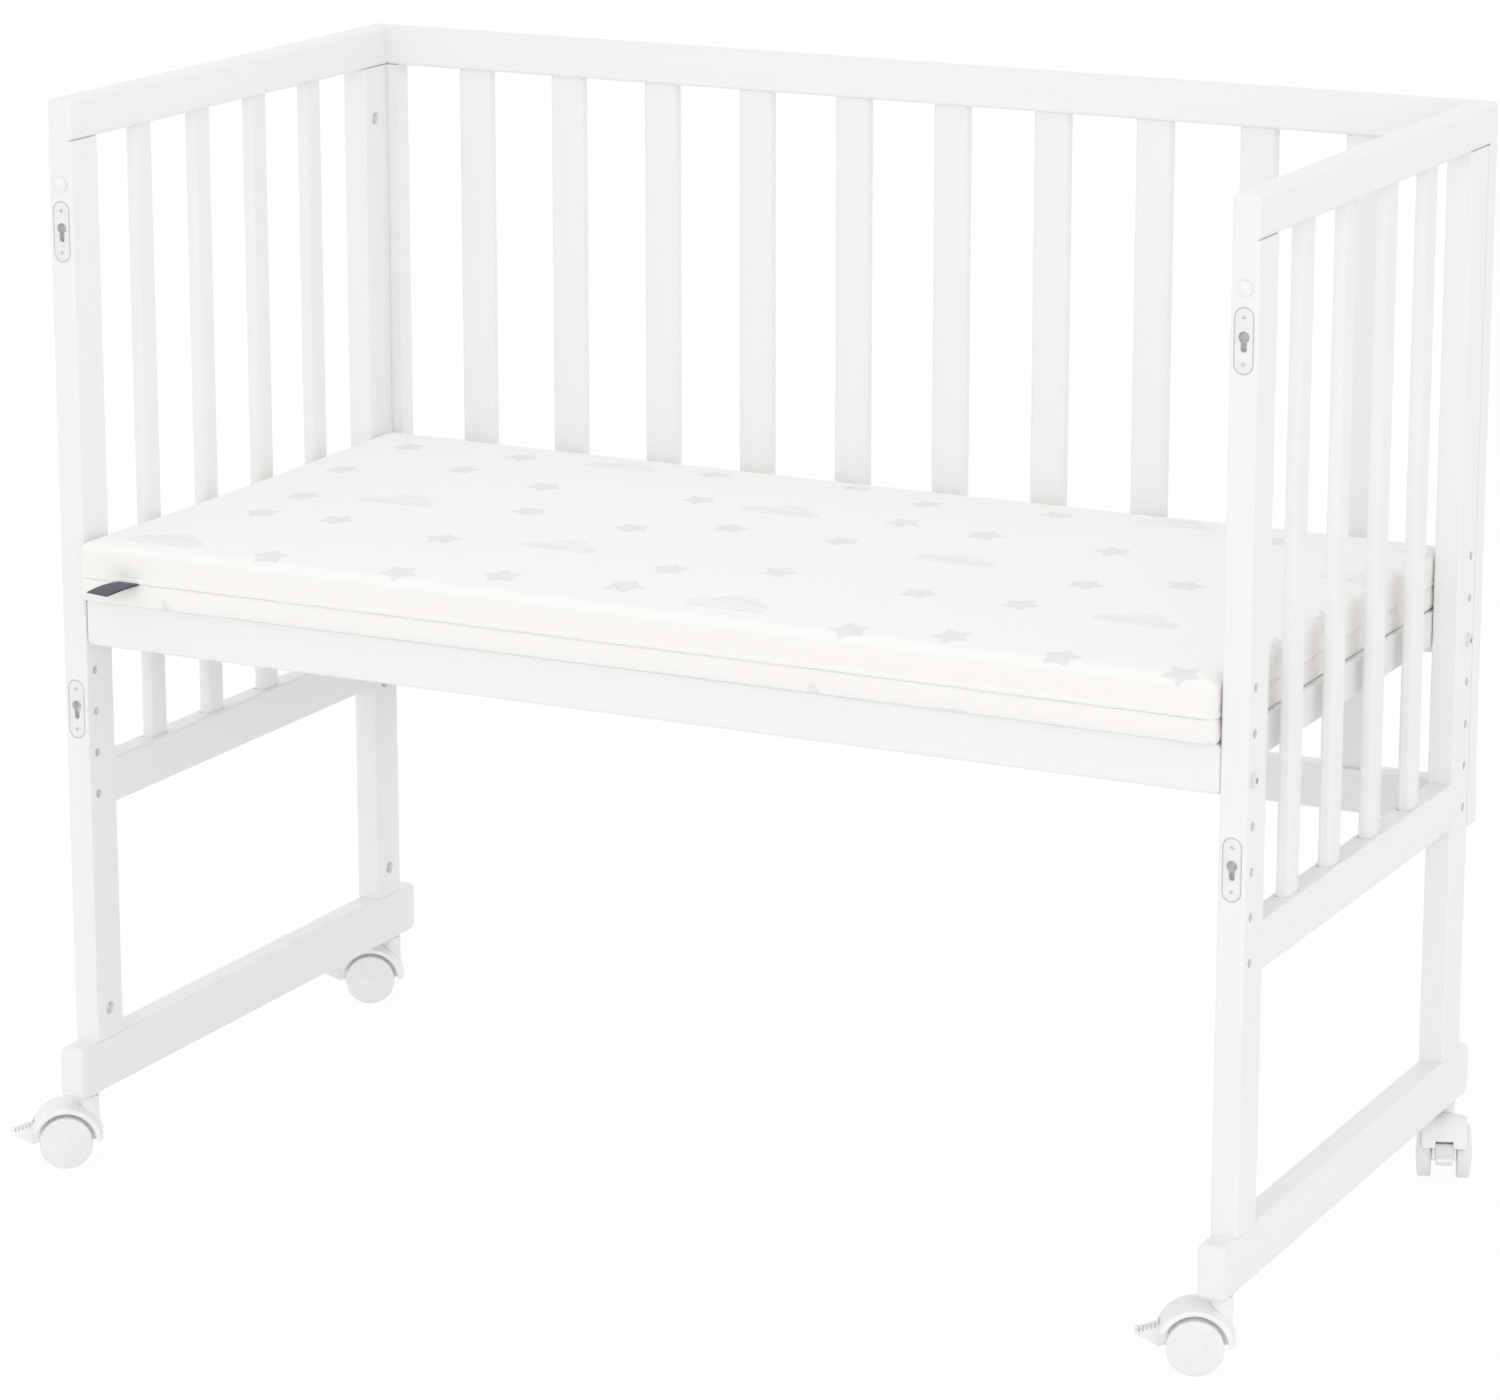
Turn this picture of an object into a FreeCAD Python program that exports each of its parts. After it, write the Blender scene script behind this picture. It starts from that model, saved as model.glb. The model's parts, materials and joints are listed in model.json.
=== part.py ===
"""Bedside sleeper crib: end panels, back panel, mattress base, mattress, fittings and twin-wheel casters.

Millimetres, +Z up. The origin is on the floor, under the middle of the frame: X runs along the crib,
the open long side faces -Y and the back panel stands on the +Y side. Left is -X.
"""
import FreeCAD
import Part
import math
import os

V = FreeCAD.Vector
X_AXIS = V(1, 0, 0)
Y_AXIS = V(0, 1, 0)
Z_AXIS = V(0, 0, 1)

# ---------------------------------------------------------------- driving dimensions
# mattress
mattress_length = 904.0
mattress_depth = 450.0
mattress_edge_height = 48.0
mattress_crown = 4.0
mattress_corner_radius = 9.0
mattress_edge_radius = 10.0      # along its upper edge
mattress_side_draw = 3.0        # how far the sides pull in between the corners
mattress_seam_height = 19.0
mattress_seam_depth = 2.5
mattress_overhang = 10.0        # the mattress stands this far out of the open side
mattress_back_gap = 10.0        # to the back panel
mattress_end_gap = 0.5
seat_gap = 0.3                  # between the mattress and what carries it

# end panels
board_thickness = 20.0
post_depth = 35.0
post_length = 688.0
post_edge_radius = 2.0
top_rail_height = 30.0
rail_edge_radius = 3.0
foot_rail_height = 40.0
foot_rail_overhang = 23.0
foot_rail_corner_radius = 6.0
lower_rail_height = 35.0
lower_rail_thickness = 18.0
lower_rail_rise = 181.0         # lower rail above the foot rail
end_slat_count = 4
end_slat_width = 22.0
end_slat_thickness = 10.0
slat_edge_radius = 3.5
slat_tenon = 10.0
joint_clearance = 0.15          # around tenons, dowels and plates
rail_tenon_length = 8.0
rail_tenon_width = 8.0
rail_tenon_shoulder = 8.0
dowel_radius = 4.0
dowel_length = 36.0
dowel_spacing = 16.0

# back panel
back_rail_thickness = 18.0
back_bottom_rail_thickness = 22.0
back_bottom_rail_height = 33.0
back_bottom_rail_rise = 175.0
back_rail_corner_radius = 4.0
stile_width = 29.0
back_slat_count = 10
back_slat_width = 29.0
back_slat_thickness = 10.0

# level holes and the mattress base
level_hole_inset = 11.0         # from the outer face of the post
level_hole_rise = 193.5         # lowest hole above the foot rail
level_pitch = 32.0
level_count = 7
base_level = 4                  # the hole, counted from 0, that carries the base
base_end_gap = 0.5
base_rail_thickness = 20.0
base_rail_corner_radius = 4.0
base_rail_height = 35.0
base_bolt_rise = 10.5           # bolt above the underside of the rail
base_end_rail_thickness = 20.0
base_end_rail_height = 27.0
base_end_tenon_length = 5.0
base_end_tenon_shoulder = 4.0
base_slat_count = 9
base_slat_width = 52.0
base_slat_thickness = 10.0
ledger_width = 15.0
ledger_height = 12.0

# bolts and barrel nuts
bolt_radius = 3.0
bolt_clearance = 0.25
bolt_head_radius = 5.2
bolt_head_height = 2.6
bolt_head_rim = 1.0
bolt_socket_width = 4.0         # across the flats
bolt_socket_depth = 1.7
nut_radius = 5.0
nut_clearance = 0.1
nut_recess = 3.0                # nut below the face of the board, and wood left behind it
nut_thread_clearance = 0.05
bolt_tip = 4.0                  # bolt past the middle of its nut
base_nut_inset = 30.0           # from the end of the base rail
foot_nut_rise = 23.0
foot_bolt_head_clearance = 1.8
foot_bolt_counterbore_depth = 9.0
back_nut_inset = 20.0           # from the rear face of the post
back_top_bolt_drop = 41.0       # below the top of the post
back_low_bolt_rise = 7.5        # above the underside of the back bottom rail

# keyhole plates and buttons on the front posts
plate_length = 45.0
plate_width = 14.0
plate_thickness = 1.6
upper_plate_drop = 67.0         # below the top of the post
lower_plate_rise = 260.5        # above the foot rail
plate_screw_spacing = 31.0
keyhole_radius = 4.0
keyhole_slot_width = 4.4
keyhole_slot_length = 8.0
keyhole_rise = 2.5              # round hole above the middle of the plate
keyhole_pocket_margin = 1.0     # the pocket behind the keyhole is this much wider all round
keyhole_pocket_depth = 9.0
screw_head_radius = 3.2
screw_shank_radius = 1.5
screw_length = 14.0
screw_recess_length = 3.4       # cross recess in the head
screw_recess_width = 0.9
screw_recess_depth = 1.3
button_drop = 32.0              # below the top of the post
button_radius = 5.5
button_height = 2.0
button_rim = 0.8
button_stem_radius = 3.0
button_stem_length = 10.0

# casters
caster_height = 55.0
wheel_radius = 20.0
wheel_width = 11.4
wheel_edge_radius = 2.2
wheel_dome = 1.2
wheel_hub_radius = 6.0
wheel_dish_depth = 1.0
wheel_rim = 4.0
wheel_side_gap = 0.6            # between a wheel and the wall of the hood
caster_trail = 18.0             # stem to axle
axle_radius = 2.5
running_clearance = 0.05
axle_cap = 3.2                  # wheel left over the end of the axle
hood_wheel_gap = 3.0
hood_thickness = 3.5
hood_crown = 1.5                # the roof is this much higher along its middle
hood_width = 34.0
hood_wall_width = 18.0
hood_edge_radius = 1.2
hood_open_angle = 22.0          # pedal end of the roof, above the axle
hood_axle_boss_radius = 8.0
hood_column_radius = 7.6
hood_column_foot = 18.0
swivel_gap = 0.3
collar_radius = 7.0
collar_height = 1.7
stem_radius = 4.0
stem_floor = 4.0                # hood material under the stem
stem_thread_length = 18.0
pedal_width = 12.6
pedal_side_gap = 0.3
pedal_pivot_radius = 1.6
pedal_pivot_reach = 15.0        # pivot from the axle
pedal_pivot_angle = 45.0
pedal_pivot_length = 1.7
pedal_lug_radius = 3.6
pedal_root_reach = 22.5         # root of the top face, ahead of the axle and above it
pedal_root_rise = 12.5
pedal_tip_reach = 40.0
pedal_tip_rise = 7.0
pedal_nose = 2.4
pedal_heel_reach = 25.0
pedal_heel_drop = 3.5
pedal_rib_count = 6
pedal_rib_depth = 1.2
front_left_heading = 214.0      # direction in which each caster trails, from +X
front_right_heading = 203.0
rear_left_heading = 211.0
rear_right_heading = 290.0

# ---------------------------------------------------------------- derived places
frame_depth = mattress_depth - mattress_overhang + mattress_back_gap
inner_x = mattress_length / 2 + mattress_end_gap
outer_x = inner_x + board_thickness
panel_x = inner_x + board_thickness / 2
front_y = -frame_depth / 2
rear_y = frame_depth / 2
foot_z = caster_height
post_z = foot_z + foot_rail_height
post_top_z = post_z + post_length
top_z = post_top_z + top_rail_height
lower_rail_z = post_z + lower_rail_rise
back_bottom_z = post_z + back_bottom_rail_rise
level_hole_y = frame_depth / 2 - level_hole_inset
base_bolt_z = post_z + level_hole_rise + base_level * level_pitch
base_z = base_bolt_z - base_bolt_rise
base_top_z = base_z + base_rail_height
base_end_x = inner_x - base_end_gap
back_low_bolt_z = back_bottom_z + back_low_bolt_rise
back_top_bolt_z = post_top_z - back_top_bolt_drop
bolt_hole_radius = bolt_radius + bolt_clearance
nut_hole_radius = nut_radius + nut_clearance
nut_length = board_thickness - 2 * nut_recess
button_z = post_top_z - button_drop
wheel_inner_v = hood_wall_width / 2 + wheel_side_gap
wheel_outer_v = wheel_inner_v + wheel_width
axle_reach = wheel_outer_v - axle_cap
hood_inner_radius = wheel_radius + hood_wheel_gap
hood_top = caster_height - collar_height - swivel_gap

SIDES = {"left": -1, "right": 1}
DEPTHS = {"front": -1, "rear": 1}


# ---------------------------------------------------------------- helpers
def box(low, high):
    """A block between two corners, given in any order."""
    corner = [min(a, b) for a, b in zip(low, high)]
    size = [abs(a - b) for a, b in zip(low, high)]
    return Part.makeBox(size[0], size[1], size[2], V(*corner))


def cylinder(radius, start, direction, length):
    """A cylinder that starts at a point and runs along a direction."""
    return Part.makeCylinder(radius, length, V(*start), direction)


def arc(first, bend, last):
    """The round edge through three points."""
    return Part.Arc(first, bend, last).toShape()


def edges_along(shape, direction, keep=None):
    """The straight edges parallel to a direction, and past the optional test on their middle point."""
    found = []
    for edge in shape.Edges:
        if len(edge.Vertexes) < 2 or not isinstance(edge.Curve, (Part.Line, Part.LineSegment)):
            continue
        run = edge.Vertexes[1].Point - edge.Vertexes[0].Point
        if run.cross(direction).Length < 1e-6 * run.Length:
            middle = (edge.Vertexes[0].Point + edge.Vertexes[1].Point) * 0.5
            if keep is None or keep(middle):
                found.append(edge)
    return found


def eased(shape, radius, *directions):
    """The shape with every edge along the directions rounded."""
    edges = []
    for direction in directions:
        edges += edges_along(shape, direction)
    return shape.makeFillet(radius, edges)


def cut_all(shape, tools):
    """The shape less every tool."""
    return shape.cut(tools) if tools else shape


def spread(count, width, low, high):
    """Centres of equal pieces with equal gaps between them and at both ends."""
    gap = (high - low - count * width) / (count + 1)
    return [low + gap + width / 2 + i * (gap + width) for i in range(count)]


def stadium(length, width, depth, y):
    """A plate with round ends, upright, centred on x = 0 and z = 0, its face at y, going in along +Y."""
    radius = width / 2
    straight = length / 2 - radius
    outline = [arc(V(-radius, y, straight), V(0, y, straight + radius), V(radius, y, straight)),
               Part.makeLine(V(radius, y, straight), V(radius, y, -straight)),
               arc(V(radius, y, -straight), V(0, y, -straight - radius), V(-radius, y, -straight)),
               Part.makeLine(V(-radius, y, -straight), V(-radius, y, straight))]
    return Part.Face(Part.Wire(outline)).extrude(V(0, depth, 0))


def dome_middle(radius, low, high):
    """Radius and height of the point half way along a round dome's profile, from its rim to its top."""
    rise = high - low
    sphere = (radius ** 2 + rise ** 2) / (2 * rise)
    half_turn = math.asin(radius / sphere) / 2
    return sphere * math.sin(half_turn), high - sphere + sphere * math.cos(half_turn)


def domed_head(radius, height, rim):
    """A round head on z = 0 that rises along +Z: an upright rim, then a dome."""
    middle = dome_middle(radius, rim, height)
    outline = [Part.makeLine(V(0, 0, 0), V(radius, 0, 0)), Part.makeLine(V(radius, 0, 0), V(radius, 0, rim)),
               arc(V(radius, 0, rim), V(middle[0], 0, middle[1]), V(0, 0, height)),
               Part.makeLine(V(0, 0, height), V(0, 0, 0))]
    return Part.Face(Part.Wire(outline)).revolve(V(0, 0, 0), Z_AXIS, 360)


def moved(shape, x=0.0, y=0.0, z=0.0):
    """A copy of the shape, shifted."""
    copy = shape.copy()
    copy.translate(V(x, y, z))
    return copy


# ---------------------------------------------------------------- bolts and nuts
def bolt(seat, direction, length):
    """A furniture bolt: domed head with a hexagon socket on the seat, shank along the direction."""
    head = domed_head(bolt_head_radius, bolt_head_height, bolt_head_rim)
    shank = Part.makeCylinder(bolt_radius, length, V(0, 0, 0), -Z_AXIS)
    corner = bolt_socket_width / math.sqrt(3)
    points = [V(corner * math.cos(math.radians(60 * i)), corner * math.sin(math.radians(60 * i)),
                bolt_head_height) for i in range(7)]
    socket = Part.Face(Part.makePolygon(points)).extrude(V(0, 0, -bolt_socket_depth))
    solid = head.fuse(shank).removeSplitter().cut(socket)
    solid.Placement = FreeCAD.Placement(V(*seat), FreeCAD.Rotation(Z_AXIS, -direction))
    return solid


def barrel_nut(centre, axis, bolt_direction):
    """A barrel nut about its centre, with its cross hole along the bolt."""
    centre = V(*centre)
    body = Part.makeCylinder(nut_radius, nut_length, centre - axis * (nut_length / 2), axis)
    reach = nut_radius + 1
    bore = Part.makeCylinder(bolt_radius + nut_thread_clearance, 2 * reach, centre - bolt_direction * reach,
                             bolt_direction)
    return body.cut(bore)


def nut_hole(face_point, inward, middle_depth):
    """The blind hole that a barrel nut drops into, with the nut's middle at the given depth."""
    return cylinder(nut_hole_radius, face_point, inward, middle_depth + nut_length / 2)


# ---------------------------------------------------------------- end panels
def post_y(depth):
    """The middle of a post across the frame."""
    return depth * (frame_depth - post_depth) / 2


def level_holes(side, depth):
    """The row of through holes in one post, in which the base is bolted at a chosen height."""
    start = side * (inner_x - 1)
    lowest = post_z + level_hole_rise
    return [cylinder(bolt_hole_radius, (start, depth * level_hole_y, lowest + i * level_pitch),
                     X_AXIS * side, board_thickness + 2) for i in range(level_count)]


def foot_joint_holes(side, depth):
    """Bolt hole up the foot of a post, and the hole for its barrel nut in the inner face."""
    y = post_y(depth)
    nut_z = post_z + foot_nut_rise
    return [cylinder(bolt_hole_radius, (side * panel_x, y, post_z - 1), Z_AXIS,
                     1 + foot_nut_rise + bolt_tip + nut_radius),
            nut_hole((side * inner_x, y, nut_z), X_AXIS * side, board_thickness / 2)]


def dowel_places(side, depth):
    """Where the two dowels between a post and its top rail stand."""
    return [(side * panel_x, post_y(depth) + shift) for shift in (-dowel_spacing / 2, dowel_spacing / 2)]


def dowel_hole(x, y, z):
    """A hole for one dowel that is centred on the joint at z."""
    reach = dowel_length / 2 + 1
    return cylinder(dowel_radius + joint_clearance / 2, (x, y, z - reach), Z_AXIS, 2 * reach)


def plate_heights():
    """Middles of the upper and the lower keyhole plate."""
    return [post_top_z - upper_plate_drop, post_z + lower_plate_rise]


def front_face_cuts(side):
    """Recesses for the keyhole plates, their screws and the button in a front post."""
    x = side * panel_x
    cuts = []
    for z in plate_heights():
        recess = stadium(plate_length + 2 * joint_clearance, plate_width + 2 * joint_clearance,
                         plate_thickness, front_y)
        cuts.append(moved(recess, x, 0, z))
        pocket_width = 2 * (keyhole_radius + keyhole_pocket_margin)
        pocket = stadium(pocket_width + keyhole_slot_length, pocket_width, keyhole_pocket_depth, front_y)
        cuts.append(moved(pocket, x, 0, z + keyhole_rise - keyhole_slot_length / 2))
        for end in (-1, 1):
            cuts.append(screw_solid(x, z + end * plate_screw_spacing / 2))
    stem = cylinder(button_stem_radius + joint_clearance / 2, (x, front_y, button_z), Y_AXIS,
                    button_stem_length + 1)
    return cuts + [stem]


def back_bolt_heights():
    """The two heights at which the back panel is bolted to each rear post."""
    return [back_low_bolt_z, back_top_bolt_z]


def back_joint_holes(side):
    """Bolt holes and barrel nut holes in a rear post for the back panel."""
    cuts = []
    for z in back_bolt_heights():
        reach = back_nut_inset + bolt_tip + nut_radius
        cuts.append(cylinder(bolt_hole_radius, (side * panel_x, rear_y + 1, z), -Y_AXIS, reach + 1))
        nut_face = (side * inner_x, rear_y - back_nut_inset, z)
        cuts.append(nut_hole(nut_face, X_AXIS * side, board_thickness / 2))
    return cuts


def rail_tenon(side, depth, clearance=0.0):
    """The tenon at one end of the lower rail, or its mortise when given a clearance."""
    face = depth * (frame_depth / 2 - post_depth)
    half = rail_tenon_width / 2 + clearance
    return box((side * panel_x - half, face, lower_rail_z + rail_tenon_shoulder - clearance),
               (side * panel_x + half, face + depth * (rail_tenon_length + clearance),
                lower_rail_z + lower_rail_height - rail_tenon_shoulder + clearance))


def post(side, depth):
    """One upright, with eased edges and every hole that its joints need."""
    outer = depth * frame_depth / 2
    inner = depth * (frame_depth / 2 - post_depth)
    solid = box((side * inner_x, outer, post_z), (side * outer_x, inner, post_top_z))
    solid = eased(solid, post_edge_radius, Z_AXIS)
    cuts = level_holes(side, depth) + foot_joint_holes(side, depth)
    cuts += [dowel_hole(x, y, post_top_z) for x, y in dowel_places(side, depth)]
    cuts.append(rail_tenon(side, depth, joint_clearance))
    cuts += front_face_cuts(side) if depth < 0 else back_joint_holes(side)
    return cut_all(solid, cuts)


def end_slat_box(side, y, low_z, high_z, clearance=0.0):
    """The block that an end slat fills, grown all round for its mortise."""
    half_x = end_slat_thickness / 2 + clearance
    half_y = end_slat_width / 2 + clearance
    return box((side * panel_x - half_x, y - half_y, low_z), (side * panel_x + half_x, y + half_y, high_z))


def end_slat_places():
    """Middles of the end slats across the frame."""
    reach = frame_depth / 2 - post_depth
    return spread(end_slat_count, end_slat_width, -reach, reach)


def end_slats(side):
    """The upright slats of one end panel, with tenons in both rails."""
    low = lower_rail_z + lower_rail_height - slat_tenon
    high = post_top_z + slat_tenon
    return [eased(end_slat_box(side, y, low, high), slat_edge_radius, Z_AXIS) for y in end_slat_places()]


def top_rail(side):
    """The rail across the tops of the two posts, butted against the back panel's rail."""
    solid = box((side * inner_x, front_y, post_top_z), (side * outer_x, rear_y, top_z))
    long_edges = edges_along(solid, Y_AXIS)
    end_edges = edges_along(solid, Z_AXIS, lambda p: p.y < 0) + \
        edges_along(solid, X_AXIS, lambda p: p.y < 0 and p.z > post_top_z + 1)
    solid = solid.makeFillet(rail_edge_radius, long_edges + end_edges)
    mortise_top = post_top_z + slat_tenon + joint_clearance
    cuts = [end_slat_box(side, y, post_top_z - 1, mortise_top, joint_clearance) for y in end_slat_places()]
    for depth in DEPTHS.values():
        cuts += [dowel_hole(x, y, post_top_z) for x, y in dowel_places(side, depth)]
    return cut_all(solid, cuts)


def lower_rail(side):
    """The rail between the posts under the slats, a little thinner than the posts."""
    reach = frame_depth / 2 - post_depth
    half = lower_rail_thickness / 2
    top = lower_rail_z + lower_rail_height
    solid = box((side * panel_x - half, -reach, lower_rail_z), (side * panel_x + half, reach, top))
    solid = eased(solid, post_edge_radius, Y_AXIS)
    for depth in DEPTHS.values():
        solid = solid.fuse(rail_tenon(side, depth))
    floor = top - slat_tenon - joint_clearance
    cuts = [end_slat_box(side, y, floor, top + 1, joint_clearance) for y in end_slat_places()]
    return cut_all(solid.removeSplitter(), cuts)


def foot_rail(side):
    """The rail under the posts, with round corners, that carries the casters."""
    reach = frame_depth / 2 + foot_rail_overhang
    solid = box((side * inner_x, -reach, foot_z), (side * outer_x, reach, post_z))
    solid = eased(solid, foot_rail_corner_radius, X_AXIS)
    rims = [e for e in solid.Edges if abs(e.BoundBox.XMax - e.BoundBox.XMin) < 1e-6]
    solid = solid.makeFillet(rail_edge_radius, rims)
    cuts = []
    for depth in DEPTHS.values():
        y = post_y(depth)
        cuts.append(cylinder(bolt_hole_radius, (side * panel_x, y, foot_z - 1), Z_AXIS, foot_rail_height + 2))
        cuts.append(cylinder(bolt_head_radius + foot_bolt_head_clearance, (side * panel_x, y, foot_z - 1),
                             Z_AXIS, foot_bolt_counterbore_depth + 1))
        cuts.append(cylinder(stem_radius + running_clearance, (side * panel_x, caster_y(depth), foot_z - 1),
                             Z_AXIS, stem_thread_length + 2))
    return cut_all(solid, cuts)


def dowels():
    """Every dowel: two in the top of each post, one in each end of the back panel's stiles."""
    places = []
    for side in SIDES.values():
        for depth in DEPTHS.values():
            places += [(x, y, post_top_z) for x, y in dowel_places(side, depth)]
        places += [(side * stile_x, back_y, z) for z in (back_bottom_z + back_bottom_rail_height, post_top_z)]
    return [cylinder(dowel_radius, (x, y, z - dowel_length / 2), Z_AXIS, dowel_length) for x, y, z in places]


# ---------------------------------------------------------------- back panel
back_y = rear_y + back_rail_thickness / 2
stile_x = outer_x - stile_width / 2


def back_slat_box(x, low_z, high_z, clearance=0.0):
    """The block that a back slat fills, grown all round for its mortise."""
    half_x = back_slat_width / 2 + clearance
    half_y = back_slat_thickness / 2 + clearance
    return box((x - half_x, back_y - half_y, low_z), (x + half_x, back_y + half_y, high_z))


def back_slat_places():
    """Middles of the back slats along the crib."""
    reach = outer_x - stile_width
    return spread(back_slat_count, back_slat_width, -reach, reach)


def back_slats():
    """The upright slats of the back panel."""
    low = back_bottom_z + back_bottom_rail_height - slat_tenon
    high = post_top_z + slat_tenon
    return [eased(back_slat_box(x, low, high), slat_edge_radius, Z_AXIS) for x in back_slat_places()]


def back_top_rail():
    """The rail along the top of the back panel, its ends flush with the end panels."""
    solid = box((-outer_x, rear_y, post_top_z), (outer_x, rear_y + back_rail_thickness, top_z))
    rear_edges = edges_along(solid, X_AXIS, lambda p: p.y > back_y) + \
        edges_along(solid, X_AXIS, lambda p: p.y < back_y and p.z < post_top_z + 1) + \
        edges_along(solid, Z_AXIS, lambda p: p.y > back_y) + \
        edges_along(solid, Y_AXIS, lambda p: p.z > post_top_z + 1)
    solid = solid.makeFillet(rail_edge_radius, rear_edges)
    mortise_top = post_top_z + slat_tenon + joint_clearance
    cuts = [back_slat_box(x, post_top_z - 1, mortise_top, joint_clearance) for x in back_slat_places()]
    cuts += [dowel_hole(side * stile_x, back_y, post_top_z) for side in SIDES.values()]
    return cut_all(solid, cuts)


def back_bottom_rail():
    """The thicker rail along the bottom of the back panel, bolted to the rear posts."""
    top = back_bottom_z + back_bottom_rail_height
    solid = box((-outer_x, rear_y, back_bottom_z), (outer_x, rear_y + back_bottom_rail_thickness, top))
    outside = edges_along(solid, X_AXIS, lambda p: p.y > back_y) + \
        edges_along(solid, Z_AXIS, lambda p: p.y > back_y)
    solid = solid.makeFillet(back_rail_corner_radius, outside)
    floor = top - slat_tenon - joint_clearance
    cuts = [back_slat_box(x, floor, top + 1, joint_clearance) for x in back_slat_places()]
    for side in SIDES.values():
        cuts.append(dowel_hole(side * stile_x, back_y, top))
        cuts.append(cylinder(bolt_hole_radius, (side * panel_x, rear_y - 1, back_low_bolt_z), Y_AXIS,
                             back_bottom_rail_thickness + 2))
    return cut_all(solid, cuts)


def back_stile(side):
    """One upright end of the back panel, behind the rear post."""
    low = back_bottom_z + back_bottom_rail_height
    solid = box((side * outer_x, rear_y, low), (side * (outer_x - stile_width), rear_y + back_rail_thickness,
                                                post_top_z))
    solid = solid.makeFillet(post_edge_radius, edges_along(solid, Z_AXIS, lambda p: p.y > back_y))
    cuts = [dowel_hole(side * stile_x, back_y, z) for z in (low, post_top_z)]
    cuts.append(cylinder(bolt_hole_radius, (side * panel_x, rear_y - 1, back_top_bolt_z), Y_AXIS,
                         back_rail_thickness + 2))
    return cut_all(solid, cuts)


# ---------------------------------------------------------------- mattress base
base_inner_y = level_hole_y - base_rail_thickness / 2


def base_end_tenon(side, depth, clearance=0.0):
    """The stub tenon of a base end rail, or its mortise when given a clearance."""
    middle = side * (base_end_x - base_end_rail_thickness / 2)
    half = base_end_rail_thickness / 2 - base_end_tenon_shoulder + clearance
    low = base_top_z - base_end_rail_height + base_end_tenon_shoulder - clearance
    high = base_top_z - base_end_tenon_shoulder + clearance
    return box((middle - half, depth * base_inner_y, low),
               (middle + half, depth * (base_inner_y + base_end_tenon_length + clearance), high))


def base_long_rail(depth):
    """The front or rear rail of the base, centred on its bolts, with nut holes in its underside."""
    outer = depth * (level_hole_y + base_rail_thickness / 2)
    solid = box((-base_end_x, outer, base_z), (base_end_x, depth * base_inner_y, base_top_z))
    solid = eased(solid, base_rail_corner_radius, Y_AXIS)
    rims = [e for e in solid.Edges if abs(e.BoundBox.YMax - e.BoundBox.YMin) < 1e-6]
    solid = solid.makeFillet(post_edge_radius, rims)
    cuts = []
    for side in SIDES.values():
        nut_x = side * (base_end_x - base_nut_inset)
        cuts.append(cylinder(bolt_hole_radius, (side * (base_end_x + 1), depth * level_hole_y, base_bolt_z),
                             X_AXIS * -side, 1 + base_nut_inset + nut_radius + bolt_tip))
        cuts.append(nut_hole((nut_x, depth * level_hole_y, base_z), Z_AXIS, base_bolt_rise))
        cuts.append(base_end_tenon(side, depth, joint_clearance))
    return cut_all(solid, cuts)


def base_end_rail(side):
    """The short rail at one end of the base, tenoned into the long rails."""
    solid = box((side * base_end_x, -base_inner_y, base_top_z - base_end_rail_height),
                (side * (base_end_x - base_end_rail_thickness), base_inner_y, base_top_z))
    solid = eased(solid, post_edge_radius, Y_AXIS)
    for depth in DEPTHS.values():
        solid = solid.fuse(base_end_tenon(side, depth))
    return solid.removeSplitter()


def base_slats():
    """The slats across the base, flush with the tops of its rails."""
    reach = base_end_x - base_end_rail_thickness
    half_y = base_inner_y - joint_clearance
    slats = []
    for x in spread(base_slat_count, base_slat_width, -reach, reach):
        slat = box((x - base_slat_width / 2, -half_y, base_top_z - base_slat_thickness),
                   (x + base_slat_width / 2, half_y, base_top_z))
        slats.append(eased(slat, post_edge_radius, Y_AXIS))
    return slats


def base_ledgers():
    """The two strips on the inner faces of the long rails, under the slats."""
    reach = base_end_x - base_end_rail_thickness - joint_clearance
    top = base_top_z - base_slat_thickness
    return [box((-reach, depth * base_inner_y, top - ledger_height),
                (reach, depth * (base_inner_y - ledger_width), top)) for depth in DEPTHS.values()]


# ---------------------------------------------------------------- mattress
def mattress_outline(inset, z):
    """A rectangle with round corners and sides that are drawn in, inset from the full size."""
    half_x = mattress_length / 2 - inset
    half_y = mattress_depth / 2 - inset
    middle_y = front_y - mattress_overhang + mattress_depth / 2
    radius = max(mattress_corner_radius - inset, mattress_corner_radius * 0.2)
    diagonal = radius * (1 - math.sqrt(0.5))
    edges = []
    corners = [(1, -1), (1, 1), (-1, 1), (-1, -1)]
    for i, (sx, sy) in enumerate(corners):
        turn_x = V(sx * (half_x - radius), middle_y + sy * half_y, z)
        turn_y = V(sx * half_x, middle_y + sy * (half_y - radius), z)
        first, last = (turn_x, turn_y) if i % 2 == 0 else (turn_y, turn_x)
        bend = V(sx * (half_x - diagonal), middle_y + sy * (half_y - diagonal), z)
        edges.append(arc(first, bend, last))
        nx, ny = corners[(i + 1) % 4]
        if i % 2 == 0:
            target = V(nx * half_x, middle_y + ny * (half_y - radius), z)
            side_middle = V(sx * (half_x - mattress_side_draw), middle_y, z)
        else:
            target = V(nx * (half_x - radius), middle_y + ny * half_y, z)
            side_middle = V(0, middle_y + sy * (half_y - mattress_side_draw), z)
        edges.append(arc(last, side_middle, target))
    return Part.Wire(edges)


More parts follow.
